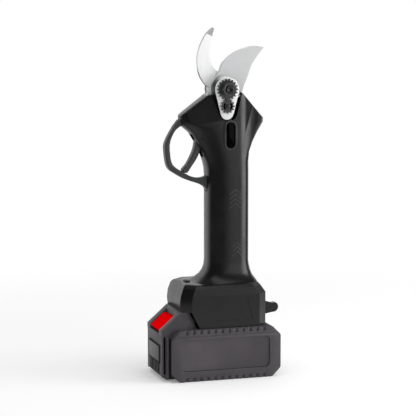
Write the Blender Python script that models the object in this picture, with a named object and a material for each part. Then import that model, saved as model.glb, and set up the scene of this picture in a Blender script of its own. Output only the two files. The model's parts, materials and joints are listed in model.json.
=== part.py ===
"""Battery electric pruner: a bypass head driven by a gear motor in the grip, on a sliding battery pack.

Metres, +Z up. The origin is on the battery's bottom face, under the grip. The trigger points to -X,
the blades swing in the XZ plane, and the lock nut and the display are on the -Y side.
"""

import math

import bmesh
import bpy
from mathutils import Vector

# ---------------------------------------------------------------- driving sizes
GAP = 0.0003                  # gap between faces that touch on the real tool
WALL = 0.0025                 # moulded wall of housing and battery

# drive line
AXIS_X = -0.0050              # vertical drive line, which crosses the blade pivot
PIVOT_Z = 0.2863
MOTOR_RADIUS = 0.0135
MOTOR_FIT = 0.0006
SHAFT_RADIUS = 0.0015
SHAFT_SINK = 0.0064            # depth of the shaft's bore in the motor
DRIVE_DROP = 0.0649            # pivot down to the top of the motor
MOTOR_LENGTH = 0.0664
RING_HEIGHT = 0.0140

# grip and head
GRIP_REAR = 0.0216
GRIP_DEPTH = 0.0190
GRIP_LOW = 0.1150
HEAD_DROP = 0.0863             # pivot down to the top of the straight grip
WING_FRONT = -0.0495
WING_REAR = 0.0380
WING_DROP = 0.0313             # pivot down to the wing tips
WING_DEPTH = 0.0182
SHOULDER_FRONT_DROP = 0.0263   # pivot down to the front shoulder at the wing tip
SHOULDER_FRONT_ANGLE = 35.3
SHOULDER_REAR_DROP = 0.0293
SHOULDER_REAR_ANGLE = 47.8
CREST_HALF = 0.0041            # half width of the flat crest along the shoulders
CREST_DROP_FRONT = 0.0009      # fall from the crest to the face, front shoulder
CREST_DROP_REAR = 0.0025
CREST_OVERRUN = 0.0013         # how far the fall goes on beyond the face's edge
EDGE_NEAR = 0.0110             # half thickness at the shoulders, on the display's side
EDGE_FAR = 0.0148
FACE_REACH = 0.0300            # how far the flat face runs below the front shoulder
FACE_SETBACK = 0.0011          # drive line to the rear end of that face
CROWN_RADIUS = 0.0122         # round top of the head about the pivot
RIB = 0.0028                  # ribs that carry the motor

# foot
FOOT_BASE = 0.0518
FOOT_TOP = 0.0945
FOOT_FRONT = -0.0554
FOOT_REAR = 0.0340
FOOT_HALF = 0.0330
FOOT_CORNER = 0.0095           # flat across each upright corner
FOOT_FLOOR = 0.0690           # underside of the room for the controller
PANEL_DEPTH = 0.0005
LUG_Z = 0.0640
LUG_RADIUS = 0.0052
LUG_REACH = 0.0160             # foot to the middle of the lug
LUG_HALF = 0.0030

# blades
BLADE_T = 0.0035
PLATE_Y = -0.0042             # near face of the moving blade
HUB_RADIUS = 0.0128
BOLT_RADIUS = 0.0040
BUSH_WALL = 0.0015

# bevel pair, both cones meeting at the pivot
BEVEL_MODULE = 0.0010
PINION_TEETH = 10
SECTOR_TEETH_FULL = 50
SECTOR_TEETH = 9
BEVEL_FACE = 0.0070
SECTOR_BACK_Y = -0.0090

# planetary stage
PLANET_MODULE = 0.00055
SUN_TEETH = 12
PLANET_TEETH = 15
RING_TEETH = 42
PLANET_COUNT = 3
PLANET_WIDTH = 0.0070

# cover plate and lock nut
COVER_FRONT_Y = -0.0185
LOBE_DROP = 0.0231            # lower round of the cover below the pivot
LOBE_RADIUS = 0.0070
LOCK_MODULE = 0.0011
NUT_TEETH = 18
LOCK_TEETH = 12
FLANGE_T = 0.0020
HEX_ACROSS = 0.0122
HEX_HEIGHT = 0.0060

# trigger
TRIGGER_X = -0.0295
TRIGGER_DROP = 0.0493          # pivot down to the trigger's pin
TRIGGER_HALF = 0.0045
TRIGGER_HUB = 0.0032
TRIGGER_PIN = 0.0012
GUARD_HALF = 0.0045

# display
DISPLAY_X = -0.0013
DISPLAY_DROP = 0.0453          # pivot down to the middle of the display
DISPLAY_HALF_W = 0.0070
DISPLAY_HALF_H = 0.0153
DISPLAY_RIM = 0.0022
DISPLAY_POCKET = 0.0015
DISPLAY_PROUD = 0.0005

# power button
BUTTON_X = -0.0415
BUTTON_HALF = 0.0028
BUTTON_LENGTH = 0.0100
BUTTON_TRAVEL = 0.0010
BUTTON_PROUD = 0.0013

# battery
PACK_FRONT = -0.0683
PACK_REAR = 0.0458
PACK_SIDE = 0.0050             # cell end to the outer face of the pack
PACK_TOP = 0.0515
PACK_SPLIT = 0.0450
PACK_CHAMFER = 0.0090
PACK_EDGE = 0.0010
NOSE_FRONT = -0.0750
NOSE_HALF = 0.0270
HUMP_TOP = 0.0680
RECESS_DEPTH = 0.0015
NOTCH_COUNT = 12
NOTCH_START = 0.0145           # front of the pack to the first notch
NOTCH_PITCH = 0.0073
NOTCH_WIDTH = 0.0029
NOTCH_HEIGHT = 0.0042
NOTCH_DEPTH = 0.0016
SEAM_DEPTH = 0.0014            # grooves between the nose and each side frame
SEAM_WIDTH = 0.0020
SEAM_SETBACK = 0.0018
SEAM_LOW = 0.0070
VENT_COUNT = 4
VENT_PITCH = 0.0080
VENT_HALF = 0.0015
VENT_LOW = 0.0068
VENT_HIGH = 0.0155
GAUGE_HALF = 0.0180
GAUGE_LOW = 0.0180
GAUGE_HIGH = 0.0340
GAUGE_SINK = 0.0010            # depth of the gauge's seat
TERMINAL_REACH = 0.0100        # foot's rear face to the front of the terminal block
TERMINAL_HALF = 0.0190
CONTACT_PITCH = 0.0120
CONTACT_HALF = 0.0005
CONTACT_LOW = 0.0550
RAIL_HALF = 0.0240
RAIL_NECK = 0.0205
RAIL_LOW = 0.0578
RAIL_TOP = 0.0645
CELL_RADIUS = 0.0091
CELL_LENGTH = 0.0650
CELL_COLUMNS = 5
CELL_ROWS = 2
POST_RADIUS = 0.0034
CASE_SINK = 0.0110            # height of the case screws' seats
LATCH_HALF = 0.0160
LATCH_TRAVEL = 0.0025

# screws
SCREW_SIDES = 8
SCREW_RADIUS = 0.0015
SCREW_HEAD = 0.0028
BOSS_RADIUS = 0.0034
BOSS_COVER = 0.0010           # skin left over a boss
HEAD_SINK = 0.0040            # depth of a screw's seat below the skin

# worked out from the sizes above
PACK_HALF = CELL_LENGTH / 2 + PACK_SIDE
GRIP_FRONT = AXIS_X - MOTOR_RADIUS - MOTOR_FIT - WALL
GRIP_HIGH = PIVOT_Z - HEAD_DROP
WING_Z = PIVOT_Z - WING_DROP
SHOULDER_FRONT_Z = PIVOT_Z - SHOULDER_FRONT_DROP
SHOULDER_REAR_Z = PIVOT_Z - SHOULDER_REAR_DROP
TRIGGER_Z = PIVOT_Z - TRIGGER_DROP
DISPLAY_Z = PIVOT_Z - DISPLAY_DROP
MOTOR_TOP = PIVOT_Z - DRIVE_DROP
MOTOR_BASE = MOTOR_TOP - MOTOR_LENGTH
RING_BASE = MOTOR_TOP + GAP
RING_TOP = RING_BASE + RING_HEIGHT
BLADE_BACK_Y = PLATE_Y + BLADE_T
FIXED_Y = BLADE_BACK_Y + GAP
FRAME_Y = FIXED_Y + BLADE_T + GAP
BUSH_RADIUS = BOLT_RADIUS + GAP + BUSH_WALL
GEAR_RADIUS = BEVEL_MODULE * SECTOR_TEETH_FULL / 2
PINION_RADIUS = BEVEL_MODULE * PINION_TEETH / 2


# ---------------------------------------------------------------- small tools
def clear_scene():
    for item in list(bpy.data.objects):
        bpy.data.objects.remove(item, do_unlink=True)


def material(name, color, roughness, metallic=0.0):
    made = bpy.data.materials.new(name)
    made.use_nodes = True
    shader = made.node_tree.nodes["Principled BSDF"]
    shader.inputs["Base Color"].default_value = (*color, 1.0)
    shader.inputs["Roughness"].default_value = roughness
    shader.inputs["Metallic"].default_value = metallic
    made.diffuse_color = (*color, 1.0)
    return made


def piece(name, bm, color, roughness=0.5, metallic=0.0, origin=(0, 0, 0), parent=None, smooth=40):
    """Turns a bmesh in world coordinates into an object whose origin lies at the given point."""
    bmesh.ops.recalc_face_normals(bm, faces=bm.faces)
    bmesh.ops.translate(bm, vec=-Vector(origin), verts=bm.verts)
    mesh = bpy.data.meshes.new(name)
    bm.to_mesh(mesh)
    bm.free()
    mesh.shade_smooth()
    mesh.set_sharp_from_angle(angle=math.radians(smooth))
    made = bpy.data.objects.new(name, mesh)
    made.location = origin
    made.data.materials.append(material(name, color, roughness, metallic))
    bpy.context.scene.collection.objects.link(made)
    if parent is not None:
        made.parent = parent
        made.location = Vector(origin) - parent.location
    return made


def joint_empty(name, point, parent=None):
    made = bpy.data.objects.new(name, None)
    made.empty_display_size = 0.01
    made.location = point
    bpy.context.scene.collection.objects.link(made)
    if parent is not None:
        made.parent = parent
        made.location = Vector(point) - parent.location
    return made


def tool(name, bm):
    """A hidden body that only cuts or adds to others."""
    made = piece(name, bm, (0.8, 0.2, 0.2))
    made.hide_render = True
    made.display_type = "WIRE"
    return made


def combine(target, other, operation="DIFFERENCE"):
    step = target.modifiers.new(other.name, "BOOLEAN")
    step.operation = operation
    step.solver = "EXACT"
    step.object = other


def soften(target, width, segments=1, angle=40):
    step = target.modifiers.new("soft edges", "BEVEL")
    step.width = width
    step.segments = segments
    step.limit_method = "ANGLE"
    step.angle_limit = math.radians(angle)


def place(u, v, w, axis):
    """A point with u and v in the plane square to the axis and w along it."""
    return {"X": (w, u, v), "Y": (u, w, v), "Z": (u, v, w)}[axis]


def arc(cx, cy, radius, start, end, steps):
    points = []
    for i in range(steps + 1):
        angle = math.radians(start + (end - start) * i / steps)
        points.append((cx + radius * math.cos(angle), cy + radius * math.sin(angle)))
    return points


def chamfered_box(x0, x1, y0, y1, cut):
    return [(x0 + cut, y0), (x1 - cut, y0), (x1, y0 + cut), (x1, y1 - cut),
            (x1 - cut, y1), (x0 + cut, y1), (x0, y1 - cut), (x0, y0 + cut)]


def curve_through(points, steps):
    """A smooth open line through the points."""
    line = []
    last = len(points) - 1
    for i in range(last):
        p0 = Vector(points[max(i - 1, 0)])
        p1 = Vector(points[i])
        p2 = Vector(points[i + 1])
        p3 = Vector(points[min(i + 2, last)])
        for k in range(steps):
            t = k / steps
            bend = p1 * 2 + (p2 - p0) * t
            bend += (p0 * 2 - p1 * 5 + p2 * 4 - p3) * t * t
            bend += (p1 * 3 - p0 - p2 * 3 + p3) * t ** 3
            line.append(tuple(bend / 2))
    line.append(tuple(points[last]))
    return line


def grown(outline, amount):
    """The closed outline moved outward by amount, whichever way it runs."""
    count = len(outline)
    area = 0.0
    for i in range(count):
        x0, y0 = outline[i]
        x1, y1 = outline[(i + 1) % count]
        area += x0 * y1 - x1 * y0
    turn = 1 if area > 0 else -1
    moved = []
    for i in range(count):
        before = Vector(outline[i - 1])
        here = Vector(outline[i])
        after = Vector(outline[(i + 1) % count])
        a = (here - before).normalized()
        b = (after - here).normalized()
        normal = Vector((a.y + b.y, -a.x - b.x)).normalized()
        spread = max(normal.dot(Vector((a.y, -a.x))), 0.5)
        moved.append(tuple(here + normal * (turn * amount / spread)))
    return moved


def loft(rings, bm=None):
    """A closed body through rings of equal count, with flat ends."""
    bm = bm or bmesh.new()
    rows = [[bm.verts.new(p) for p in ring] for ring in rings]
    count = len(rows[0])
    for low, high in zip(rows, rows[1:]):
        for i in range(count):
            j = (i + 1) % count
            bm.faces.new((low[i], low[j], high[j], high[i]))
    bm.faces.new(list(reversed(rows[0])))
    bm.faces.new(rows[-1])
    return bm


def prism(outline, low, high, axis="Y", bm=None):
    rings = [[place(u, v, w, axis) for u, v in outline] for w in (low, high)]
    return loft(rings, bm)


def box(x0, x1, y0, y1, z0, z1, bm=None):
    return prism([(x0, y0), (x1, y0), (x1, y1), (x0, y1)], z0, z1, "Z", bm)


def circle(cx, cy, radius, segments):
    """Evenly spaced points, turned so that flats and not corners meet the axes."""
    half = 180 / segments
    return arc(cx, cy, radius, half, 360 - half, segments - 1)


def round_bar(cx, cy, radius, low, high, axis="Y", segments=24, bm=None):
    return prism(circle(cx, cy, radius, segments), low, high, axis, bm)


def turned(profile, cx, cy, axis="Y", segments=24, closed=False, bm=None):
    """A body turned about a line through (cx, cy); the profile holds (radius, height) pairs."""
    rings = []
    for radius, height in profile:
        rings.append([place(u, v, height, axis)
                      for u, v in circle(cx, cy, radius, segments)])
    if not closed:
        return loft(rings, bm)
    bm = bm or bmesh.new()
    rows = [[bm.verts.new(p) for p in ring] for ring in rings]
    for low, high in zip(rows, rows[1:] + rows[:1]):
        for i in range(segments):
            j = (i + 1) % segments
            bm.faces.new((low[i], low[j], high[j], high[i]))
    return bm


def tube(cx, cy, outer, inner, low, high, axis="Y", segments=24):
    profile = [(outer, low), (outer, high), (inner, high), (inner, low)]
    return turned(profile, cx, cy, axis, segments, closed=True)


def gear_outline(teeth, root, tip, root_share, tip_share, phase=0.0, cx=0.0, cy=0.0):
    """Straight-sided teeth. The shares are the tooth's part of the pitch at root and tip."""
    points = []
    pitch = 360 / teeth
    for i in range(teeth):
        middle = phase + i * pitch
        corners = [(root, -root_share), (tip, -tip_share), (tip, tip_share), (root, root_share)]
        for radius, share in corners:
            angle = math.radians(middle + share * pitch / 2)
            points.append((cx + radius * math.cos(angle), cy + radius * math.sin(angle)))
    return points


# ---------------------------------------------------------------- housing form
def housing_stations():
    """Height, front, rear, half depth and squareness of the housing's sections, foot to head."""
    flare = FOOT_TOP
    reach_f = WING_FRONT - GRIP_FRONT
    reach_r = WING_REAR - GRIP_REAR
    rise = WING_Z - GRIP_HIGH
    thin = WING_DEPTH - GRIP_DEPTH
    rows = [
        (flare - 0.0045, GRIP_FRONT - 0.0174, GRIP_REAR + 0.0085, GRIP_DEPTH + 0.0110, 3.6),
        (flare, GRIP_FRONT - 0.0149, GRIP_REAR + 0.0074, GRIP_DEPTH + 0.0090, 3.4),
        (flare + 0.0025, GRIP_FRONT - 0.0094, GRIP_REAR + 0.0058, GRIP_DEPTH + 0.0062, 3.2),
        (flare + 0.0060, GRIP_FRONT - 0.0052, GRIP_REAR + 0.0034, GRIP_DEPTH + 0.0036, 3.0),
        (flare + 0.0105, GRIP_FRONT - 0.0023, GRIP_REAR + 0.0017, GRIP_DEPTH + 0.0016, 2.9),
        (flare + 0.0155, GRIP_FRONT - 0.0006, GRIP_REAR + 0.0006, GRIP_DEPTH + 0.0005, 2.8),
        (GRIP_LOW, GRIP_FRONT, GRIP_REAR, GRIP_DEPTH, 2.8),
        (GRIP_HIGH, GRIP_FRONT, GRIP_REAR, GRIP_DEPTH, 2.8),
    ]
    growth = [(0.15, 0.025, 0.00), (0.27, 0.082, 0.00), (0.44, 0.211, 0.06), (0.62, 0.405, 0.29),
              (0.80, 0.640, 0.61), (0.905, 0.895, 0.84), (0.97, 1.0, 0.98)]
    for up, front, rear in growth:
        rows.append((GRIP_HIGH + rise * up, GRIP_FRONT + reach_f * front, GRIP_REAR + reach_r * rear,
                     GRIP_DEPTH + thin * up, 2.8 - 0.2 * up))
    rows.append((WING_Z + 0.004, WING_FRONT, WING_REAR, WING_DEPTH, 2.6))
    rows.append((PIVOT_Z + CROWN_RADIUS + 0.004, WING_FRONT, WING_REAR, WING_DEPTH - 0.0006, 2.6))
    return rows


def housing_at(z):
    rows = housing_stations()
    z = min(max(z, rows[0][0]), rows[-1][0])
    for low, high in zip(rows, rows[1:]):
        if z <= high[0]:
            t = (z - low[0]) / (high[0] - low[0])
            return [a + (b - a) * t for a, b in zip(low[1:], high[1:])]
    return rows[-1][1:]


def housing_ring(z, inset=0.0, segments=30):
    front, rear, depth, square = housing_at(z)
    half = (rear - front) / 2 - inset
    middle = (rear + front) / 2
    ring = []
    for i in range(segments):
        angle = math.radians(360 * (i + 0.5) / segments)
        c = math.cos(angle)
        s = math.sin(angle)
        x = middle + half * math.copysign(abs(c) ** (2 / square), c)
        y = (depth - inset) * math.copysign(abs(s) ** (2 / square), s)
        ring.append((x, y, z))
    return ring


def skin_depth(x, z, side=-1):
    """Half depth of the housing's outer face at x and z, on the display's side (-1) or the other."""
    front, rear, depth, square = housing_at(z)
    share = abs(x - (rear + front) / 2) / ((rear - front) / 2)
    round_depth = depth * (1 - min(share, 0.999) ** square) ** (1 / square)
    return round_depth if side > 0 else min(round_depth, face_depth(x, z))


def housing_loft(low, high, inset=0.0, segments=30, bm=None):
    heights = [low]
    heights += [row[0] for row in housing_stations() if low + 0.0008 < row[0] < high - 0.0008]
    heights.append(high)
    return loft([housing_ring(z, inset, segments) for z in heights], bm)


def front_shoulder_z(x, drop=0.0):
    slope = math.radians(SHOULDER_FRONT_ANGLE)
    return SHOULDER_FRONT_Z - drop / math.cos(slope) + (x - WING_FRONT) * math.tan(slope)


def rear_shoulder_z(x, drop=0.0):
    slope = math.radians(SHOULDER_REAR_ANGLE)
    return SHOULDER_REAR_Z - drop / math.cos(slope) + (WING_REAR - x) * math.tan(slope)


def head_outline(inset=0.0, front_drop=0.0, rear_drop=0.0):
    """The region above the shoulders and outside the round crown, which is cut off the head."""
    radius = CROWN_RADIUS - inset

    def front_z(x):
        return front_shoulder_z(x, inset + front_drop)

    def rear_z(x):
        return rear_shoulder_z(x, inset + rear_drop)

    def meets(height, side):
        x = AXIS_X + side * radius
        for _ in range(60):
            up = height(x) - PIVOT_Z
            x = AXIS_X + side * math.sqrt(max(radius * radius - up * up, 0))
        return x, height(x)

    left = meets(front_z, -1)
    right = meets(rear_z, 1)
    a0 = math.degrees(math.atan2(left[1] - PIVOT_Z, left[0] - AXIS_X))
    a1 = math.degrees(math.atan2(right[1] - PIVOT_Z, right[0] - AXIS_X))
    if a0 < 0:
        a0 += 360
    top = PIVOT_Z + 3 * CROWN_RADIUS
    far = 0.12
    points = [(-far, front_z(-far))]
    points += arc(AXIS_X, PIVOT_Z, radius, a0, a1, 12)
    points += [(far, rear_z(far)), (far, top), (-far, top)]
    return points


def above_head(name, inset=0.0):
    """Cutter above the shoulders. Their crest is flat in the middle and falls to both faces."""
    near, far = EDGE_NEAR + CREST_OVERRUN, EDGE_FAR + CREST_OVERRUN
    far_share = (far - CREST_HALF) / (near - CREST_HALF)
    rows = [(-0.05, 1), (-near, 1), (-CREST_HALF, 0), (CREST_HALF, 0), (far, far_share), (0.05, far_share)]
    rings = []
    for y, share in rows:
        outline = head_outline(inset, CREST_DROP_FRONT * share, CREST_DROP_REAR * share)
        rings.append([(x, y, z) for x, z in outline])
    return tool(name, loft(rings))


def face_depth(x, z):
    """Half depth of the flat face that falls from the head's middle to the front shoulder."""
    below = (front_shoulder_z(x) - z) * math.cos(math.radians(SHOULDER_FRONT_ANGLE))
    return EDGE_NEAR + (WING_DEPTH - EDGE_NEAR) * below / FACE_REACH


def face_cutter(name, inset=0.0):
    """Wedge that leaves a flat face on the display's side of the head, in front of the drive line."""
    rear = AXIS_X - FACE_SETBACK
    top = PIVOT_Z + 0.0437
    corners = [(-0.10, PIVOT_Z - 0.1163), (rear, PIVOT_Z - 0.0413), (rear, top), (-0.10, top)]
    face = [(x, inset - face_depth(x, z), z) for x, z in corners]
    away = [(x, -0.08, z) for x, z in corners]
    return tool(name, loft([face, away]))


def teardrop(extra=0.0, steps=8):
    """Round at the pivot and a smaller round below it, joined by straight sides."""
    big = HUB_RADIUS + extra
    small = LOBE_RADIUS + extra
    lean = math.degrees(math.asin((big - small) / LOBE_DROP))
    points = arc(AXIS_X, PIVOT_Z, big, -lean, 180 + lean, 2 * steps)
    points += arc(AXIS_X, PIVOT_Z - LOBE_DROP, small, 180 + lean, 360 - lean, steps)
    return points


# ---------------------------------------------------------------- outlines shared by neighbours
def from_pivot(points):
    return [(AXIS_X + x, PIVOT_Z + z) for x, z in points]


def from_trigger(points):
    return [(TRIGGER_X + x, TRIGGER_Z + z) for x, z in points]


def guard_outline():
    """Guard ring: outer line from the head down to the grip, then the inner line back up."""
    foot_x = GRIP_FRONT + 0.0012
    foot_low = TRIGGER_Z - 0.0522
    foot_high = TRIGGER_Z - 0.0370
    outer = [(WING_FRONT + 0.0050, WING_Z + 0.0020), (WING_FRONT - 0.0012, WING_Z + 0.0009)]
    outer += from_trigger([(-0.0295, 0.0070), (-0.0346, -0.0036), (-0.0350, -0.0105), (-0.0335, -0.0230),
                           (-0.0306, -0.0295), (-0.0250, -0.0336), (-0.0157, -0.0389), (-0.0074, -0.0421),
                           (0.0010, -0.0449)])
    outer += [(GRIP_FRONT - 0.0017, foot_low + 0.0041), (GRIP_FRONT, foot_low)]
    inner = [(GRIP_FRONT - 0.0006, foot_high)]
    inner += from_trigger([(0.0051, -0.0380), (-0.0012, -0.0387), (-0.0095, -0.0364), (-0.0198, -0.0306),
                           (-0.0257, -0.0265), (-0.0285, -0.0220), (-0.0297, -0.0151), (-0.0302, -0.0052),
                           (-0.0279, 0.0027), (-0.0238, 0.0095)])
    inner += [(WING_FRONT + 0.0012, WING_Z - 0.0049), (WING_FRONT + 0.0055, WING_Z - 0.0045)]
    line = curve_through(outer, 2)
    line += [(foot_x, foot_low), (foot_x, foot_high)]
    line += curve_through(inner, 2)
    return line


def trigger_outline():
    front = [(-0.0032, 0.0000), (-0.0049, -0.0093), (-0.0081, -0.0172), (-0.0127, -0.0251),
             (-0.0171, -0.0298)]
    tip = [(-0.0168, -0.0320), (-0.0150, -0.0333), (-0.0120, -0.0334)]
    rear = [(-0.0074, -0.0265), (-0.0027, -0.0197), (0.0009, -0.0118), (0.0031, -0.0025)]
    line = curve_through(from_trigger(front), 3) + from_trigger(tip) + curve_through(from_trigger(rear), 3)
    line += arc(TRIGGER_X, TRIGGER_Z, TRIGGER_HUB, 0, 180, 8)[:-1]
    return line


def lug_outline():
    """Side view of the ear behind the foot, which carries a strap."""
    root = FOOT_REAR - 0.002
    eye_x = FOOT_REAR + LUG_REACH
    low, high = LUG_Z - 0.0070, LUG_Z + 0.0085
    line = [(root, low), (FOOT_REAR + 0.0060, low + 0.0002)]
    line += arc(eye_x, LUG_Z, LUG_RADIUS, -100, 62, 9)
    line += [(eye_x - 0.0022, LUG_Z + 0.0043), (FOOT_REAR + 0.0090, high - 0.0025), (root, high)]
    return line


def foot_rings():
    rows = [(FOOT_BASE, 0.0014, 0.0, 0.0), (FOOT_BASE + 0.0165, 0.0009, 0.0, 0.0),
            (FOOT_TOP - 0.0185, 0.0, 0.0, 0.0), (FOOT_TOP - 0.0105, 0.0010, 0.0, 0.0),
            (FOOT_TOP - 0.0034, 0.0036, 0.0050, 0.0006), (FOOT_TOP - 0.0008, 0.0056, 0.0070, 0.0030),
            (FOOT_TOP, 0.0074, 0.0084, 0.0050)]
    rings = []
    for z, front, rear, side in rows:
        outline = chamfered_box(FOOT_FRONT + front, FOOT_REAR - rear, -FOOT_HALF + side, FOOT_HALF - side,
                                FOOT_CORNER)
        rings.append([(x, y, z) for x, y in outline])
    return rings


def hump_outline():
    """Side view of the battery's front block above its top face."""
    return [(NOSE_FRONT, PACK_SPLIT + GAP), (NOSE_FRONT, 0.0500), (-0.0544, HUMP_TOP),
            (-0.0468, HUMP_TOP), (-0.0390, PACK_TOP - 0.0010), (-0.0390, PACK_SPLIT + GAP)]


SCREW_PLACES = [(AXIS_X + 0.0175, PIVOT_Z - 0.0513), (AXIS_X + 0.0335, PIVOT_Z - 0.0343),
                (AXIS_X - 0.0325, PIVOT_Z - 0.0343), (GRIP_REAR - 0.0084, GRIP_HIGH - 0.0200),
                (GRIP_REAR - 0.0084, GRIP_LOW + 0.0250), (AXIS_X + 0.0050, GRIP_LOW - 0.0050)]
FRAME_SCREWS = [(AXIS_X - 0.0120, PIVOT_Z - 0.0095), (AXIS_X + 0.0120, PIVOT_Z - 0.0095)]


# ---------------------------------------------------------------- places worked out along the drive line
SEAT_RIB_LOW = RING_TOP + GAP
COLLAR_BASE = SEAT_RIB_LOW + RIB + GAP
COLLAR_TOP = COLLAR_BASE + 0.0098
COLLAR_RADIUS = 0.0128
FRAME_T = 0.0101
FRAME_BACK = FRAME_Y + FRAME_T
COLUMN_Y = PINION_RADIUS + 0.0018
BEARING_RADIUS = 0.0066
PINION_SHAFT = 0.0024
PINION_LARGE = PIVOT_Z - GEAR_RADIUS
BOLT_HEAD = 0.0075
BOLT_HEAD_T = 0.0036
COVER_BACK_Y = SECTOR_BACK_Y - GAP
CENTRE_DISTANCE = PLANET_MODULE * (SUN_TEETH + PLANET_TEETH) / 2
SUN_TOP = RING_BASE + 0.0014 + PLANET_WIDTH + 0.0006
CARRIER_Z = RING_BASE + 0.0014 + PLANET_WIDTH + 0.0012
CARRIER_T = 0.0030
PLANET_PIN = 0.0012
RECESS_X0 = -0.0576
RECESS_X1 = 0.0339


def slope_z(x):
    """Height of the battery's slanted front at x."""
    return 0.0500 + (x - NOSE_FRONT) * (HUMP_TOP - 0.0500) / (-0.0544 - NOSE_FRONT)


# ---------------------------------------------------------------- housing
def rib_heights():
    """Lower faces of the ribs across the grip, from the foot up."""
    return [MOTOR_BASE - GAP - RIB, MOTOR_BASE + 0.010, MOTOR_TOP - 0.014, RING_TOP - 0.006, SEAT_RIB_LOW]


def housing_tools():
    tools = {}
    foot = tool("foot_block", loft(foot_rings()))
    lug = tool("lug_block", prism(lug_outline(), -LUG_HALF, LUG_HALF))
    tools["adds"] = [foot, lug]

    cuts = [above_head("above_head")]
    side = FOOT_HALF - WALL
    room = loft([[(x, y, z) for x, y in chamfered_box(FOOT_FRONT + 0.0050 + 0.4 * lean, FOOT_REAR - WALL - lean,
                                                      -side + lean, side - lean, FOOT_CORNER - 0.0015)]
                 for z, lean in ((FOOT_FLOOR, 0.0006), (FOOT_TOP - 0.0105, 0.0006), (FOOT_TOP - WALL, 0.0062))])
    cuts.append(tool("foot_room", room))
    cuts.append(tool("hump_room", prism(grown(hump_room(), GAP), -0.05, 0.05)))
    channel = prism([(-RAIL_NECK - GAP, FOOT_BASE - 0.01), (RAIL_NECK + GAP, FOOT_BASE - 0.01),
                     (RAIL_NECK + GAP, RAIL_LOW - GAP), (RAIL_HALF + GAP, RAIL_LOW - GAP),
                     (RAIL_HALF + GAP, RAIL_TOP + GAP), (-RAIL_HALF - GAP, RAIL_TOP + GAP),
                     (-RAIL_HALF - GAP, RAIL_LOW - GAP), (-RAIL_NECK - GAP, RAIL_LOW - GAP)],
                    FOOT_FRONT - 0.01, FOOT_REAR - WALL, "X")
    cuts.append(tool("rail_channel", channel))

    rooms = None
    floor = FOOT_TOP - 0.0044
    for low in rib_heights():
        rooms = housing_loft(floor, low, WALL, 16, rooms)
        floor = low + RIB
    cuts.append(tool("grip_rooms", rooms))
    head = tool("head_room", housing_loft(floor, PIVOT_Z + CROWN_RADIUS, WALL, 20))
    combine(head, above_head("above_head_room", WALL))
    combine(head, face_cutter("above_face_room", WALL))
    cuts.append(head)
    tools["cuts"] = cuts
    tools["face"] = face_cutter("above_face")

    bores = round_bar(AXIS_X, 0, MOTOR_RADIUS + GAP, MOTOR_BASE + 0.001, SEAT_RIB_LOW - 0.001, "Z", 24)
    late = [tool("motor_bore", bores)]
    late.append(tool("wire_and_shaft_bore", turned([(0.0070, MOTOR_BASE - 0.010), (0.0070, MOTOR_BASE + 0.005),
                                                    (0.0045, MOTOR_BASE + 0.006), (0.0045, COLLAR_BASE)],
                                                   AXIS_X, 0, "Z")))
    slot_half = TRIGGER_HALF + 2 * GAP
    opening = from_trigger([(-0.0185, -0.0180), (0.0097, -0.0180), (0.0097, 0.0048), (-0.0185, 0.0048)])
    late.append(tool("trigger_slot", prism(opening, -slot_half, slot_half)))
    late.append(tool("guard_seat", prism(grown(guard_outline(), GAP), -GUARD_HALF - GAP, GUARD_HALF + GAP)))
    late.append(tool("button_hole", prism(button_outline(GAP), FOOT_TOP - 0.010, FOOT_TOP + 0.01, "Z")))
    panel = None
    for y in (-FOOT_HALF, FOOT_HALF):
        panel = prism([(-0.0376, 0.0790), (-0.0304, 0.0590), (0.0175, 0.0590), (0.0122, 0.0790)],
                      y - PANEL_DEPTH, y + PANEL_DEPTH, bm=panel)
    late.append(tool("side_panels", panel))
    opening = from_pivot([(-0.0166, -0.0201), (0.0215, -0.0201), (0.0215, 0.0237), (-0.0166, 0.0237)])
    late.append(tool("blade_slot", prism(opening, SECTOR_BACK_Y - GAP, FRAME_BACK + GAP)))
    tools["late"] = late
    return tools


def hump_room():
    """Side view of the room that the foot leaves for the battery's front block."""
    return [(FOOT_FRONT - 0.01, FOOT_BASE - 0.01), (-0.0378, FOOT_BASE - 0.01), (-0.0378, FOOT_BASE),
            (-0.0459, HUMP_TOP), (FOOT_FRONT - 0.01, HUMP_TOP)]


def button_outline(extra=0.0):
    r = BUTTON_HALF + extra
    y = BUTTON_LENGTH / 2 - BUTTON_HALF
    return [(BUTTON_X + u, v) for u, v in arc(0, y, r, 0, 180, 8) + arc(0, -y, r, 180, 360, 8)]


def boss_reach(x, z, radius, side):
    """How far a boss may run towards the skin before its rim would show."""
    rim = [skin_depth(x + dx, z + dz, side) for dx in (-radius, radius) for dz in (-radius, radius)]
    return min(rim) - BOSS_COVER


def boss_parts(side):
    """Screw bosses that stand on the inside of one half, and their stepped screw holes."""
    bosses = None
    holes = None
    for x, z in SCREW_PLACES:
        reach = boss_reach(x, z, BOSS_RADIUS, side)
        bosses = round_bar(x, z, BOSS_RADIUS, -side * 0.0012, side * reach, "Y", 8, bosses)
        if side > 0:
            deep = skin_depth(x, z, 1) - HEAD_SINK
            profile = [(SCREW_RADIUS + GAP, -0.002), (SCREW_RADIUS + GAP, deep),
                       (SCREW_HEAD + GAP, deep + GAP), (SCREW_HEAD + GAP, deep + 0.02)]
            holes = turned(profile, x, z, "Y", SCREW_SIDES, bm=holes)
        else:
            holes = round_bar(x, z, SCREW_RADIUS + GAP, -0.0090, 0.002, "Y", SCREW_SIDES, holes)
    reach = boss_reach(TRIGGER_X, TRIGGER_Z, BOSS_RADIUS, side)
    bosses = round_bar(TRIGGER_X, TRIGGER_Z, 0.0030, -side * 0.0012, side * reach, "Y", 8, bosses)
    pin_reach = 0.03 if side < 0 else 0.0095
    holes = round_bar(TRIGGER_X, TRIGGER_Z, TRIGGER_PIN + GAP, -side * 0.002, side * pin_reach, "Y",
                      SCREW_SIDES, holes)
    return bosses, holes


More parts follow.
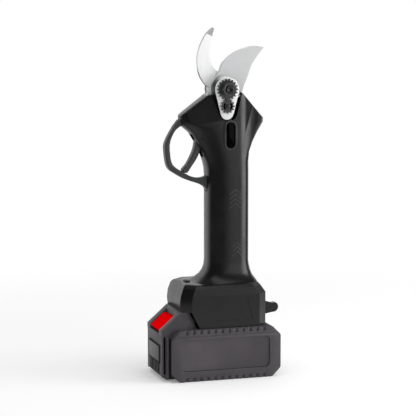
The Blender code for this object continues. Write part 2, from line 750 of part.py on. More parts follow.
def housing_half(name, side, tools):
    made = piece(name, housing_loft(FOOT_TOP - 0.0045, PIVOT_Z + CROWN_RADIUS + 0.004),
                 (0.012, 0.012, 0.013), 0.42)
    for other in tools["adds"]:
        combine(made, other, "UNION")
    if side < 0:
        combine(made, tools["face"])
    for other in tools["cuts"]:
        combine(made, other)
    bosses, holes = boss_parts(side)
    combine(made, tool(name + "_bosses", bosses), "UNION")
    for other in tools["late"]:
        combine(made, other)
    combine(made, tool(name + "_holes", holes))
    if side < 0:
        notch = teardrop(0.0006)
        opened = prism(notch, -0.03, COVER_BACK_Y + GAP)
        combine(made, tool("cover_opening", opened))
        channel = prism([(x + 0.0030, z - 0.0004) for x, z in notch], -0.03, COVER_BACK_Y + GAP)
        combine(made, tool("cover_channel", channel))
        glass = stadium(DISPLAY_X, DISPLAY_Z, DISPLAY_HALF_W + GAP, DISPLAY_HALF_H + GAP)
        floor = -skin_depth(DISPLAY_X, DISPLAY_Z) + DISPLAY_POCKET
        combine(made, tool("display_pocket", prism(glass, -0.03, floor)))
    else:
        combine(made, tool("bolt_opening", round_bar(AXIS_X, PIVOT_Z, BOLT_HEAD + 0.0008, FRAME_BACK, 0.03)))
    keep = 0.5 * GAP
    low, high = (-0.06, keep) if side > 0 else (-keep, 0.06)
    combine(made, tool(name + "_other_side", box(-0.12, 0.12, low, high, 0.02, PIVOT_Z + 0.1137)))
    return made


def stadium(cx, cz, half_w, half_h, steps=8):
    rise = half_h - half_w
    return arc(cx, cz + rise, half_w, 0, 180, steps) + arc(cx, cz - rise, half_w, 180, 360, steps)


def housing_screws():
    for number, (x, z) in enumerate(SCREW_PLACES, 1):
        seat = skin_depth(x, z, 1) - HEAD_SINK + 2 * GAP
        profile = [(SCREW_RADIUS, -0.0080), (SCREW_RADIUS, seat), (SCREW_HEAD, seat),
                   (SCREW_HEAD, seat + 0.0022)]
        piece(f"housing_screw_{number}", turned(profile, x, z, "Y", SCREW_SIDES), (0.10, 0.10, 0.11), 0.35, 1.0)


def guard():
    made = piece("trigger_guard", prism(guard_outline(), -GUARD_HALF, GUARD_HALF), (0.045, 0.046, 0.050), 0.5)
    soften(made, 0.0010, 1, 50)


def display():
    skin = -skin_depth(DISPLAY_X, DISPLAY_Z)
    back = skin + DISPLAY_POCKET - GAP
    outer = stadium(DISPLAY_X, DISPLAY_Z, DISPLAY_HALF_W, DISPLAY_HALF_H)
    inner = stadium(DISPLAY_X, DISPLAY_Z, DISPLAY_HALF_W - DISPLAY_RIM, DISPLAY_HALF_H - DISPLAY_RIM)
    bezel = piece("display_bezel", prism(outer, skin - DISPLAY_PROUD, back), (0.03, 0.03, 0.033), 0.35)
    combine(bezel, tool("display_bezel_bore", prism(inner, -0.03, 0)))
    glass = prism(grown(inner, -GAP), skin + 0.0002, back)
    piece("display_window", glass, (0.004, 0.004, 0.005), 0.08)


# ---------------------------------------------------------------- head frame and blades
def head_frame():
    hub = round_bar(AXIS_X, PIVOT_Z, HUB_RADIUS - 0.0008, FRAME_Y, FRAME_BACK, "Y", 28)
    made = piece("head_frame", hub, (0.10, 0.10, 0.11), 0.4, 1.0)
    ears = None
    for x, z in FRAME_SCREWS:
        toward = math.atan2(PIVOT_Z - z, AXIS_X - x)
        dx, dz = math.cos(toward) * 0.008, math.sin(toward) * 0.008
        nx, nz = -math.sin(toward) * 0.004, math.cos(toward) * 0.004
        outline = arc(x, z, 0.004, math.degrees(toward) + 90, math.degrees(toward) + 270, 8)
        outline += [(x + dx - nx, z + dz - nz), (x + dx + nx, z + dz + nz)]
        combine(made, tool("frame_ear", prism(outline, FRAME_Y, FRAME_BACK)), "UNION")
    column = box(AXIS_X - 0.0085, AXIS_X + 0.0085, COLUMN_Y, FRAME_BACK, COLLAR_BASE + 0.0005, PIVOT_Z - 0.004)
    combine(made, tool("frame_column", column), "UNION")
    collar = round_bar(AXIS_X, 0, COLLAR_RADIUS, COLLAR_BASE, COLLAR_TOP, "Z", 24)
    combine(made, tool("frame_collar", collar), "UNION")
    bearing = round_bar(AXIS_X, 0, BEARING_RADIUS + GAP, COLLAR_BASE - 0.002, COLLAR_TOP - 0.0020, "Z")
    combine(made, tool("frame_bearing_seat", bearing))
    bore = round_bar(AXIS_X, 0, PINION_SHAFT + 0.0012, COLLAR_BASE, PIVOT_Z - 0.0263, "Z")
    combine(made, tool("frame_shaft_bore", bore))
    combine(made, tool("frame_bolt_bore", round_bar(AXIS_X, PIVOT_Z, BOLT_RADIUS + GAP, -0.01, 0.03)))
    holes = None
    for x, z in FRAME_SCREWS:
        holes = round_bar(x, z, SCREW_RADIUS + GAP, -0.01, FRAME_Y + 0.0070, "Y", SCREW_SIDES, holes)
    combine(made, tool("frame_screw_bores", holes))
    bearing = tube(AXIS_X, 0, BEARING_RADIUS, PINION_SHAFT + GAP, COLLAR_BASE + 0.0008,
                   COLLAR_TOP - 0.0020 - GAP, "Z")
    piece("pinion_bearing", bearing, (0.6, 0.6, 0.62), 0.25, 1.0)


def fixed_blade():
    """Hook blade: round hub with two screw ears, and a crescent that bends forward and over."""
    outer = [(-0.0122, 0.0009), (-0.0172, 0.0042), (-0.0218, 0.0108), (-0.0242, 0.0172),
             (-0.0252, 0.0237), (-0.0254, 0.0305), (-0.0239, 0.0384), (-0.0208, 0.0462),
             (-0.0156, 0.0550), (-0.0089, 0.0609)]
    inner = [(-0.0075, 0.0589), (-0.0099, 0.0511), (-0.0113, 0.0437), (-0.0122, 0.0363),
             (-0.0122, 0.0304), (-0.0104, 0.0245), (-0.0073, 0.0196), (-0.0031, 0.0166), (0.0030, 0.0122)]
    outline = curve_through(from_pivot(outer), 2) + curve_through(from_pivot(inner), 2)
    outline += arc(AXIS_X, PIVOT_Z, HUB_RADIUS - 0.0006, 75, -40, 8)
    outline += arc(FRAME_SCREWS[1][0], FRAME_SCREWS[1][1], 0.0042, 20, -130, 6)
    outline += arc(AXIS_X, PIVOT_Z, HUB_RADIUS - 0.0006, -62, -118, 4)
    outline += arc(FRAME_SCREWS[0][0], FRAME_SCREWS[0][1], 0.0042, -50, -200, 6)
    made = piece("fixed_blade", prism(outline, FIXED_Y, FIXED_Y + BLADE_T), (0.82, 0.83, 0.84), 0.22, 1.0)
    soften(made, 0.0004, 1, 50)
    combine(made, tool("fixed_blade_bolt_bore", round_bar(AXIS_X, PIVOT_Z, BOLT_RADIUS + GAP, -0.01, 0.03)))
    holes = None
    for x, z in FRAME_SCREWS:
        profile = [(SCREW_HEAD + GAP, FIXED_Y - 0.002), (SCREW_HEAD + GAP, FIXED_Y + 0.0019),
                   (SCREW_RADIUS + GAP, FIXED_Y + 0.0020), (SCREW_RADIUS + GAP, FRAME_Y + 0.002)]
        holes = turned(profile, x, z, "Y", SCREW_SIDES, bm=holes)
    combine(made, tool("fixed_blade_screw_bores", holes))
    for number, (x, z) in enumerate(FRAME_SCREWS, 1):
        seat = FIXED_Y + 0.0016
        profile = [(SCREW_HEAD, FIXED_Y + GAP), (SCREW_HEAD, seat), (SCREW_RADIUS, seat),
                   (SCREW_RADIUS, FRAME_Y + 0.0065)]
        screw = turned(profile, x, z, "Y", SCREW_SIDES)
        piece(f"fixed_blade_screw_{number}", screw, (0.2, 0.2, 0.21), 0.35, 1.0)


def moving_blade(parent):
    """Cutting blade: hub on the bush, belly that bulges forward and a straight back."""
    edge = [(0.0432, 0.0411), (0.0323, 0.0424), (0.0239, 0.0407), (0.0145, 0.0375), (0.0072, 0.0329),
            (0.0015, 0.0280), (-0.0016, 0.0240), (-0.0035, 0.0186), (-0.0063, 0.0129), (-0.0100, 0.0082)]
    back = [(0.0185, -0.0073), (0.0208, -0.0018), (0.0230, 0.0049), (0.0264, 0.0127), (0.0282, 0.0184),
            (0.0313, 0.0253), (0.0376, 0.0342)]
    outline = curve_through(from_pivot(edge), 2)
    outline += arc(AXIS_X, PIVOT_Z, HUB_RADIUS, 150, 320, 12)
    outline += curve_through(from_pivot(back), 2)
    pivot = (AXIS_X, 0, PIVOT_Z)
    made = piece("moving_blade", prism(outline, PLATE_Y, BLADE_BACK_Y), (0.72, 0.73, 0.74), 0.25, 1.0,
                 origin=pivot, parent=parent)
    soften(made, 0.0004, 1, 50)
    combine(made, tool("moving_blade_bore", round_bar(AXIS_X, PIVOT_Z, BUSH_RADIUS + GAP, -0.03, 0.03)))
    combine(made, tool("moving_blade_pins", drive_pin_bores()))
    bush = tube(AXIS_X, PIVOT_Z, BUSH_RADIUS, BOLT_RADIUS + GAP, SECTOR_BACK_Y + GAP, BLADE_BACK_Y - GAP)
    piece("pivot_bush", bush, (0.62, 0.45, 0.20), 0.3, 1.0, origin=pivot)
    for number, (x, z) in enumerate(drive_pin_places(), 1):
        pin = round_bar(x, z, SCREW_RADIUS, SECTOR_BACK_Y + GAP, BLADE_BACK_Y - 2 * GAP, "Y", SCREW_SIDES)
        piece(f"drive_pin_{number}", pin, (0.5, 0.5, 0.52), 0.3, 1.0, origin=pivot, parent=parent)


def drive_pin_places():
    return arc(AXIS_X, PIVOT_Z, 0.0095, -150, -30, 1)


def drive_pin_bores():
    bores = None
    for x, z in drive_pin_places():
        bores = round_bar(x, z, SCREW_RADIUS + GAP, -0.02, 0.02, "Y", SCREW_SIDES, bores)
    return bores


# ---------------------------------------------------------------- bevel pair
def cone_angles():
    """Half angles of both pitch cones and the tooth's reach above and below them, in degrees."""
    pinion = math.degrees(math.atan(PINION_TEETH / SECTOR_TEETH_FULL))
    length = math.hypot(GEAR_RADIUS, PINION_RADIUS)
    up = math.degrees(math.atan(0.85 * BEVEL_MODULE / length))
    down = math.degrees(math.atan(1.15 * BEVEL_MODULE / length))
    return pinion, 90 - pinion, up, down, length


def cone_tooth(bm, ray, length, middle, root, tip, root_half, tip_half):
    """One straight bevel tooth: a block whose flanks all run to the pivot."""
    sections = []
    for reach in (length - BEVEL_FACE, length):
        sections.append([ray(reach, root, middle - root_half), ray(reach, tip, middle - tip_half),
                         ray(reach, tip, middle + tip_half), ray(reach, root, middle + root_half)])
    return loft(sections, bm)


def sector_ray(reach, cone, turn):
    cone, turn = math.radians(cone), math.radians(turn)
    return (AXIS_X + reach * math.sin(cone) * math.cos(turn), -reach * math.cos(cone),
            PIVOT_Z + reach * math.sin(cone) * math.sin(turn))


def pinion_ray(reach, cone, turn):
    cone, turn = math.radians(cone), math.radians(turn)
    return (AXIS_X + reach * math.sin(cone) * math.cos(turn), reach * math.sin(cone) * math.sin(turn),
            PIVOT_Z - reach * math.cos(cone))


def sector_gear(parent):
    _, cone, up, down, length = cone_angles()
    root = cone - down
    pitch = 360 / SECTOR_TEETH_FULL
    first = -90 + pitch / 2
    last = first - (SECTOR_TEETH - 1) * pitch
    outer = length * math.sin(math.radians(root))
    inner = (length - BEVEL_FACE) * math.sin(math.radians(root))
    outer_y = -length * math.cos(math.radians(root))
    inner_y = -(length - BEVEL_FACE) * math.cos(math.radians(root))
    steps = 12
    rings = []
    for i in range(steps + 1):
        angle = math.radians(first + 0.32 * pitch + (last - first - 0.64 * pitch) * i / steps)
        ring = []
        for radius, y in ((0.0070, SECTOR_BACK_Y), (outer, SECTOR_BACK_Y), (outer, outer_y), (inner, inner_y),
                          (0.0070, inner_y)):
            ring.append((AXIS_X + radius * math.cos(angle), y, PIVOT_Z + radius * math.sin(angle)))
        rings.append(ring)
    pivot = (AXIS_X, 0, PIVOT_Z)
    made = piece("sector_gear", loft(rings), (0.30, 0.30, 0.32), 0.35, 1.0, origin=pivot, parent=parent)
    hub = round_bar(AXIS_X, PIVOT_Z, HUB_RADIUS - 0.0006, SECTOR_BACK_Y + 0.00002, PLATE_Y - GAP, "Y", 32)
    combine(made, tool("sector_hub", hub), "UNION")
    teeth = None
    for i in range(SECTOR_TEETH):
        middle = first - i * pitch
        teeth = cone_tooth(teeth, sector_ray, length - 0.00003, middle, root - 0.6, cone + up,
                           pitch * 0.285, pitch * 0.115)
    combine(made, tool("sector_teeth", teeth), "UNION")
    combine(made, tool("sector_bore", round_bar(AXIS_X, PIVOT_Z, BUSH_RADIUS + GAP, -0.03, 0.03)))
    combine(made, tool("sector_pins", drive_pin_bores()))


def bevel_pinion(axis_empty):
    cone, _, up, down, length = cone_angles()
    root = cone - down
    pitch = 360 / PINION_TEETH
    low = PIVOT_Z - length * math.cos(math.radians(root))
    high = PIVOT_Z - (length - BEVEL_FACE) * math.cos(math.radians(root))
    large = length * math.sin(math.radians(root))
    small = (length - BEVEL_FACE) * math.sin(math.radians(root))
    profile = [(PINION_SHAFT, CARRIER_Z + CARRIER_T + GAP), (PINION_SHAFT, COLLAR_TOP + 0.0004),
               (large, COLLAR_TOP + 0.0009), (large, low), (small, high)]
    made = piece("bevel_pinion", turned(profile, AXIS_X, 0, "Z", 20), (0.32, 0.32, 0.34), 0.35, 1.0,
                 origin=(AXIS_X, 0, low), parent=axis_empty)
    teeth = None
    for i in range(PINION_TEETH):
        middle = -90 + i * pitch
        teeth = cone_tooth(teeth, pinion_ray, length - 0.00004, middle, root - 0.8, cone + up,
                           pitch * 0.255, pitch * 0.085)
    combine(made, tool("pinion_teeth", teeth), "UNION")


# ---------------------------------------------------------------- planetary stage and motor
def spur(teeth, module, fill, phase, cx=0.0, cy=0.0, up=0.85, down=1.15):
    pitch_radius = module * teeth / 2
    return gear_outline(teeth, pitch_radius - down * module, pitch_radius + up * module,
                        fill + 0.16, fill - 0.16, phase, cx, cy)


def planetary_stage(axis_empty):
    low = RING_BASE + 0.0014
    high = low + PLANET_WIDTH
    ring = piece("ring_gear", round_bar(AXIS_X, 0, MOTOR_RADIUS, RING_BASE, RING_TOP, "Z", 28),
                 (0.45, 0.45, 0.47), 0.4, 1.0)
    pitch_radius = PLANET_MODULE * RING_TEETH / 2
    gaps = gear_outline(RING_TEETH, pitch_radius - 0.85 * PLANET_MODULE, pitch_radius + 1.15 * PLANET_MODULE,
                        0.72, 0.40, 0.0, AXIS_X, 0)
    combine(ring, tool("ring_gear_teeth", prism(gaps, RING_BASE - 0.002, high + GAP, "Z")))
    combine(ring, tool("ring_gear_room", round_bar(AXIS_X, 0, 0.0116, high, RING_TOP + 0.002, "Z", 32)))

    shaft = [(SHAFT_RADIUS, MOTOR_TOP - SHAFT_SINK + 0.0004), (SHAFT_RADIUS, SUN_TOP)]
    sun = piece("motor_shaft", turned(shaft, AXIS_X, 0, "Z", SCREW_SIDES), (0.55, 0.55, 0.57), 0.3, 1.0,
                origin=(AXIS_X, 0, RING_BASE), parent=axis_empty)
    teeth = spur(SUN_TEETH, PLANET_MODULE, 0.40, 180 / SUN_TEETH, AXIS_X, 0)
    combine(sun, tool("sun_teeth", prism(teeth, low, high, "Z")), "UNION")

    carrier = round_bar(AXIS_X, 0, 0.0107, CARRIER_Z, CARRIER_Z + CARRIER_T, "Z", 28)
    carrier = piece("planet_carrier", carrier, (0.5, 0.5, 0.52), 0.4, 1.0,
                    origin=(AXIS_X, 0, CARRIER_Z), parent=axis_empty)
    pins = None
    for i in range(PLANET_COUNT):
        x, y = planet_place(i)
        pins = round_bar(x, y, PLANET_PIN, low + 0.0004, CARRIER_Z + 0.001, "Z", SCREW_SIDES, pins)
    combine(carrier, tool("carrier_pins", pins), "UNION")

    for i in range(PLANET_COUNT):
        x, y = planet_place(i)
        angle = planet_angle(i)
        mesh_sun = angle + 180
        offset = (angle - 180 / SUN_TEETH) * SUN_TEETH / PLANET_TEETH
        phase = mesh_sun + 180 / PLANET_TEETH + offset
        outline = spur(PLANET_TEETH, PLANET_MODULE, 0.40, phase, x, y)
        made = piece(f"planet_gear_{i + 1}", prism(outline, low, high, "Z"), (0.5, 0.5, 0.52), 0.35, 1.0,
                     origin=(x, y, low), parent=axis_empty)
        bore = round_bar(x, y, PLANET_PIN + GAP, low - 0.01, high + 0.01, "Z", SCREW_SIDES)
        combine(made, tool("planet_bore", bore))


def planet_angle(i):
    return 90 + i * 360 / PLANET_COUNT


def planet_place(i):
    angle = math.radians(planet_angle(i))
    return AXIS_X + CENTRE_DISTANCE * math.cos(angle), CENTRE_DISTANCE * math.sin(angle)


def motor():
    profile = [(MOTOR_RADIUS - 0.0008, MOTOR_BASE), (MOTOR_RADIUS, MOTOR_BASE + 0.0008),
               (MOTOR_RADIUS, MOTOR_TOP - 0.0008), (MOTOR_RADIUS - 0.0008, MOTOR_TOP)]
    made = piece("motor", turned(profile, AXIS_X, 0, "Z", 32), (0.35, 0.35, 0.36), 0.4, 1.0)
    bore = round_bar(AXIS_X, 0, SHAFT_RADIUS + GAP, MOTOR_TOP - SHAFT_SINK, MOTOR_TOP + 0.002, "Z", 16)
    combine(made, tool("motor_shaft_bore", bore))


# ---------------------------------------------------------------- cover plate, lock nut and bolt
def lock_group():
    cover = piece("cover_plate", prism(teardrop(), COVER_FRONT_Y, COVER_BACK_Y), (0.80, 0.81, 0.82), 0.35, 1.0)
    soften(cover, 0.0006, 1, 50)
    combine(cover, tool("cover_bolt_bore", round_bar(AXIS_X, PIVOT_Z, BOLT_RADIUS + GAP, -0.03, 0.03)))
    lock_z = PIVOT_Z - LOCK_MODULE * (NUT_TEETH + LOCK_TEETH) / 2
    screw_bore = round_bar(AXIS_X, lock_z, SCREW_RADIUS + GAP, -0.03, COVER_FRONT_Y + 0.0065, "Y", SCREW_SIDES)
    combine(cover, tool("cover_screw_bore", screw_bore))

    back = COVER_FRONT_Y - GAP
    front = back - FLANGE_T
    nut_teeth = spur(NUT_TEETH, LOCK_MODULE, 0.42, -90 + 180 / NUT_TEETH, AXIS_X, PIVOT_Z, 0.66, 0.85)
    nut = piece("lock_nut", prism(nut_teeth, front, back), (0.13, 0.13, 0.14), 0.35, 1.0)
    corner = HEX_ACROSS / math.sqrt(3)
    hexagon = arc(AXIS_X, PIVOT_Z, corner, 0, 300, 5)
    combine(nut, tool("nut_hexagon", prism(hexagon, front - HEX_HEIGHT, front + 0.0005)), "UNION")
    combine(nut, tool("nut_bore", round_bar(AXIS_X, PIVOT_Z, BOLT_RADIUS + GAP, -0.04, 0.0)))

    lock_teeth = spur(LOCK_TEETH, LOCK_MODULE, 0.42, 90, AXIS_X, lock_z, 0.60, 0.85)
    lock = piece("nut_lock", prism(lock_teeth, front, back), (0.15, 0.15, 0.16), 0.35, 1.0)
    windows = None
    for side in (-1, 1):
        turn = 90 - 90 * side
        outline = arc(AXIS_X, lock_z, 0.0049, turn - 60, turn + 60, 6)
        outline += arc(AXIS_X, lock_z, 0.0027, turn + 46, turn - 46, 4)
        windows = prism(outline, front - 0.002, back + 0.002, bm=windows)
    combine(lock, tool("nut_lock_windows", windows))
    bore = round_bar(AXIS_X, lock_z, SCREW_RADIUS + GAP, -0.04, 0.0, "Y", SCREW_SIDES)
    combine(lock, tool("nut_lock_bore", bore))
    profile = [(0.0016, front - GAP - 0.0012), (0.0022, front - GAP - 0.0008), (0.0022, front - GAP),
               (SCREW_RADIUS, front - GAP), (SCREW_RADIUS, COVER_FRONT_Y + 0.0060)]
    piece("nut_lock_screw", turned(profile, AXIS_X, lock_z, "Y", SCREW_SIDES), (0.2, 0.2, 0.21), 0.35, 1.0)

    end = front - HEX_HEIGHT - 0.0008
    head = FRAME_BACK + GAP
    profile = [(0.0018, end + 0.0010), (0.0026, end), (BOLT_RADIUS - 0.0005, end), (BOLT_RADIUS, end + 0.0005),
               (BOLT_RADIUS, head), (BOLT_HEAD, head), (BOLT_HEAD, head + BOLT_HEAD_T - 0.0008),
               (BOLT_HEAD - 0.0008, head + BOLT_HEAD_T)]
    bolt = piece("pivot_bolt", turned(profile, AXIS_X, PIVOT_Z, "Y", 24), (0.14, 0.14, 0.15), 0.3, 1.0)
    socket = arc(AXIS_X, PIVOT_Z, 0.0032, 0, 300, 5)
    combine(bolt, tool("bolt_socket", prism(socket, head + 0.0010, head + 0.02)))


# ---------------------------------------------------------------- trigger and button
def trigger(parent):
    pivot = (TRIGGER_X, 0, TRIGGER_Z)
    made = piece("trigger", prism(trigger_outline(), -TRIGGER_HALF, TRIGGER_HALF), (0.05, 0.05, 0.054), 0.45,
                 origin=pivot, parent=parent)
    soften(made, 0.0008, 1, 50)
    bore = round_bar(TRIGGER_X, TRIGGER_Z, TRIGGER_PIN + GAP, -0.02, 0.02, "Y", SCREW_SIDES)
    combine(made, tool("trigger_bore", bore))
    magnet_z = TRIGGER_Z - 0.0080
    magnet_x = TRIGGER_X + 0.0016
    combine(made, tool("magnet_seat", round_bar(0, magnet_z, 0.0015 + GAP, magnet_x - 0.0022, 0, "X", 12)))
    magnet = round_bar(0, magnet_z, 0.0015, magnet_x - 0.0022 + GAP, magnet_x - 0.0003, "X", 12)
    piece("trigger_magnet", magnet, (0.6, 0.6, 0.62), 0.3, 1.0, origin=pivot, parent=parent)
    end = skin_depth(TRIGGER_X, TRIGGER_Z) - 0.0002
    pin = round_bar(TRIGGER_X, TRIGGER_Z, TRIGGER_PIN, -end, 0.0092, "Y", SCREW_SIDES)
    piece("trigger_pin", pin, (0.6, 0.6, 0.62), 0.3, 1.0, origin=pivot)


def power_button():
    top = FOOT_TOP + BUTTON_PROUD
    under = FOOT_TOP - WALL - GAP
    made = piece("power_button", prism(button_outline(), under - 0.0010, top, "Z"), (0.03, 0.03, 0.033), 0.4,
                 origin=(BUTTON_X, 0, top))
    combine(made, tool("button_flange", prism(button_outline(0.0010), under - 0.0012, under, "Z")), "UNION")
    soften(made, 0.0004, 1, 50)
    board_top = FOOT_FLOOR + GAP + 0.0016
    board = prism(chamfered_box(-0.0470, 0.0280, -0.0260, 0.0260, FOOT_CORNER - 0.0030), FOOT_FLOOR + GAP,
                  board_top, "Z")
    piece("controller_board", board, (0.02, 0.12, 0.06), 0.5)
    switch_top = under - 0.0012 - BUTTON_TRAVEL - GAP
    piece("power_switch", box(BUTTON_X - 0.003, BUTTON_X + 0.003, -0.003, 0.003, board_top + GAP, switch_top),
          (0.03, 0.03, 0.03), 0.5)


# ---------------------------------------------------------------- battery
def pack_block(nose):
    """Outer body of the pack with its nose, before it is split into case and cover."""
    outline = chamfered_box(PACK_FRONT, PACK_REAR, 0, PACK_TOP, PACK_CHAMFER)
    return prism(outline, -PACK_HALF, PACK_HALF), prism(nose, -NOSE_HALF, NOSE_HALF)


def side_notches(z_low, z_high):
    """Cutters for the row of notches along one edge of both side frames."""
    cuts = None
    for side in (-1, 1):
        for i in range(NOTCH_COUNT):
            x = PACK_FRONT + NOTCH_START + i * NOTCH_PITCH
            y0, y1 = sorted((side * (PACK_HALF - NOTCH_DEPTH), side * (PACK_HALF + 0.002)))
            cuts = box(x, x + NOTCH_WIDTH, y0, y1, z_low, z_high, cuts)
    return cuts


def nose_seams():
    """Upright grooves behind the nose's front face and where it meets the side frames."""
    cuts = None
    for side in (-1, 1):
        y0, y1 = sorted((side * (NOSE_HALF - SEAM_DEPTH), side * (NOSE_HALF + 0.002)))
        x = NOSE_FRONT + SEAM_SETBACK
        cuts = box(x, x + SEAM_WIDTH, y0, y1, SEAM_LOW, PACK_SPLIT + 0.001, cuts)
        y0, y1 = sorted((side * NOSE_HALF, side * (NOSE_HALF + SEAM_WIDTH)))
        cuts = box(PACK_FRONT - 0.001, PACK_FRONT + SEAM_DEPTH, y0, y1, SEAM_LOW, PACK_SPLIT + 0.001, cuts)
    return cuts


def battery_case():
    root = PACK_FRONT + 0.0083
    nose = [(root, 0.0018), (NOSE_FRONT + 0.0040, 0.0018), (NOSE_FRONT, 0.0058),
            (NOSE_FRONT, PACK_SPLIT + 0.01), (root, PACK_SPLIT + 0.01)]
    body, front = pack_block(nose)
    made = piece("battery_case", body, (0.040, 0.037, 0.043), 0.5)
    soften(made, PACK_EDGE, 1, 30)
    combine(made, tool("case_nose", front), "UNION")
    combine(made, tool("above_case", box(-0.2, 0.2, -0.2, 0.2, PACK_SPLIT, 0.2)))
    outline = chamfered_box(PACK_FRONT, PACK_REAR, 0, PACK_TOP, PACK_CHAMFER)
    half = PACK_HALF - RECESS_DEPTH - WALL
    combine(made, tool("case_room", prism(grown(outline, -WALL), -half, half)))
    recess = None
    for side in (-1, 1):
        recess = prism(chamfered_box(RECESS_X0, RECESS_X1, 0.0105, 0.0420, 0.0030),
                       side * (PACK_HALF - RECESS_DEPTH), side * (PACK_HALF + 0.005), bm=recess)
    combine(made, tool("case_recess", recess))
    combine(made, tool("case_notches", side_notches(-0.001, NOTCH_HEIGHT)))
    combine(made, tool("case_seams", nose_seams()))
    vents = None
    for i in range(VENT_COUNT):
        y = (i - (VENT_COUNT - 1) / 2) * VENT_PITCH
        vents = box(NOSE_FRONT - 0.002, NOSE_FRONT + 0.0012, y - VENT_HALF, y + VENT_HALF, VENT_LOW, VENT_HIGH,
                    vents)
    combine(made, tool("case_vents", vents))
    seat = box(NOSE_FRONT - 0.002, NOSE_FRONT + GAUGE_SINK, -GAUGE_HALF, GAUGE_HALF, GAUGE_LOW, GAUGE_HIGH)
    combine(made, tool("gauge_seat", seat))
    posts = None
    holes = None
    for x, y in case_screw_places():
        profile = [(SCREW_HEAD + GAP, -0.002), (SCREW_HEAD + GAP, CASE_SINK),
                   (SCREW_RADIUS + GAP, CASE_SINK + 0.0001), (SCREW_RADIUS + GAP, PACK_SPLIT + 0.002)]
        holes = turned(profile, x, y, "Z", SCREW_SIDES, bm=holes)
        posts = round_bar(x, y, POST_RADIUS, 0.0005, PACK_SPLIT - 0.0001, "Z", 10, posts)
    combine(made, trimmed_posts("case_posts", posts), "UNION")
    combine(made, tool("case_screw_bores", holes))
    for number, (x, y) in enumerate(case_screw_places(), 1):
        seat = CASE_SINK - GAP
        profile = [(SCREW_HEAD, seat - 0.0018), (SCREW_HEAD, seat), (SCREW_RADIUS, seat),
                   (SCREW_RADIUS, PACK_SPLIT + 0.0020)]
        piece(f"battery_screw_{number}", turned(profile, x, y, "Z", SCREW_SIDES), (0.2, 0.2, 0.21), 0.35, 1.0)
    gauge = box(NOSE_FRONT - 0.0008, NOSE_FRONT + GAUGE_SINK - GAP, GAP - GAUGE_HALF, GAUGE_HALF - GAP,
                GAUGE_LOW + GAP, GAUGE_HIGH - GAP)
    soften(piece("charge_gauge", gauge, (0.03, 0.028, 0.032), 0.4), 0.0004)


def trimmed_posts(name, posts):
    """Posts kept inside the pack's chamfered corners."""
    made = tool(name, posts)
    outline = chamfered_box(PACK_FRONT, PACK_REAR, 0, PACK_TOP, PACK_CHAMFER)
    combine(made, tool(name + "_limit", prism(grown(outline, -0.0004), -PACK_HALF, PACK_HALF)), "INTERSECT")
    return made


def case_screw_places():
    x0 = PACK_FRONT + 0.0070
    x1 = PACK_REAR - 0.0070
    y = PACK_HALF - 0.0086
    return [(x0, -y), (x0, y), (x1, -y), (x1, y)]


def battery_cover():
    body, hump = pack_block(hump_outline())
    made = piece("battery_cover", body, (0.045, 0.041, 0.047), 0.5)
    soften(made, PACK_EDGE, 1, 30)
    combine(made, tool("below_cover", box(-0.2, 0.2, -0.2, 0.2, -0.05, PACK_SPLIT + GAP)))
    outline = chamfered_box(PACK_FRONT, PACK_REAR, 0, PACK_TOP, PACK_CHAMFER)
    half = PACK_HALF - RECESS_DEPTH - WALL
    combine(made, tool("cover_room", prism(grown(outline, -WALL), -half, half)))
    combine(made, tool("cover_hump", hump), "UNION")
    rail = prism([(-RAIL_NECK, PACK_TOP - 0.001), (RAIL_NECK, PACK_TOP - 0.001), (RAIL_NECK, RAIL_LOW),
                  (RAIL_HALF, RAIL_LOW), (RAIL_HALF, RAIL_TOP), (-RAIL_HALF, RAIL_TOP),
                  (-RAIL_HALF, RAIL_LOW), (-RAIL_NECK, RAIL_LOW)], -0.0420, 0.0232, "X")
    combine(made, tool("rails", rail), "UNION")
    slots = None
    for y in contact_places():
        slots = box(0.0050, 0.0260, y - CONTACT_HALF - GAP, y + CONTACT_HALF + GAP, CONTACT_LOW - 0.0005,
                    CONTACT_LOW + 0.0075, slots)
    combine(made, tool("contact_slots", slots))
    combine(made, tool("latch_room", box(NOSE_FRONT - 0.002, -0.0575, -LATCH_HALF - GAP, LATCH_HALF + GAP,
                                         PACK_SPLIT + 0.0012, HUMP_TOP + 0.01)))
    combine(made, tool("cover_notches", side_notches(PACK_TOP - NOTCH_HEIGHT, PACK_TOP + 0.001)))
    posts = None
    holes = None
    for x, y in case_screw_places():
        posts = round_bar(x, y, POST_RADIUS, PACK_SPLIT + GAP + 0.0001, PACK_TOP - 0.001, "Z", 10, posts)
        holes = round_bar(x, y, SCREW_RADIUS + GAP, PACK_SPLIT - 0.002, PACK_SPLIT + 0.0026, "Z",
                          SCREW_SIDES, holes)
    combine(made, trimmed_posts("cover_posts", posts), "UNION")
    combine(made, tool("cover_screw_bores", holes))


def contact_places():
    return [-CONTACT_PITCH, 0.0, CONTACT_PITCH]


def foot_terminals():
    rear = FOOT_REAR - WALL - GAP
    front = FOOT_REAR - TERMINAL_REACH
    block = box(front, rear, -TERMINAL_HALF, TERMINAL_HALF, FOOT_BASE + 0.0017, RAIL_TOP)
    made = piece("foot_terminals", block, (0.06, 0.06, 0.06), 0.5)
    blades = None
    for y in contact_places():
        blades = box(front - 0.0150, front + 0.0010, y - CONTACT_HALF, y + CONTACT_HALF, CONTACT_LOW,
                     CONTACT_LOW + 0.0070, blades)
    combine(made, tool("terminal_blades", blades), "UNION")


def latch():
    low = PACK_SPLIT + 0.0012 + LATCH_TRAVEL + GAP
    x0 = NOSE_FRONT + 0.0004
    x1 = -0.0575 - GAP
    outline = [(x0, low), (x0, slope_z(x0) - 0.0006), (x1 - 0.0040, slope_z(x1 - 0.0040) - 0.0006),
               (x1, slope_z(x1 - 0.0040) - 0.0002), (x1, low)]
    made = piece("battery_latch", prism(outline, -LATCH_HALF, LATCH_HALF), (0.80, 0.004, 0.006), 0.35,
                 origin=(x0, 0, low))
    soften(made, 0.0008, 2, 50)


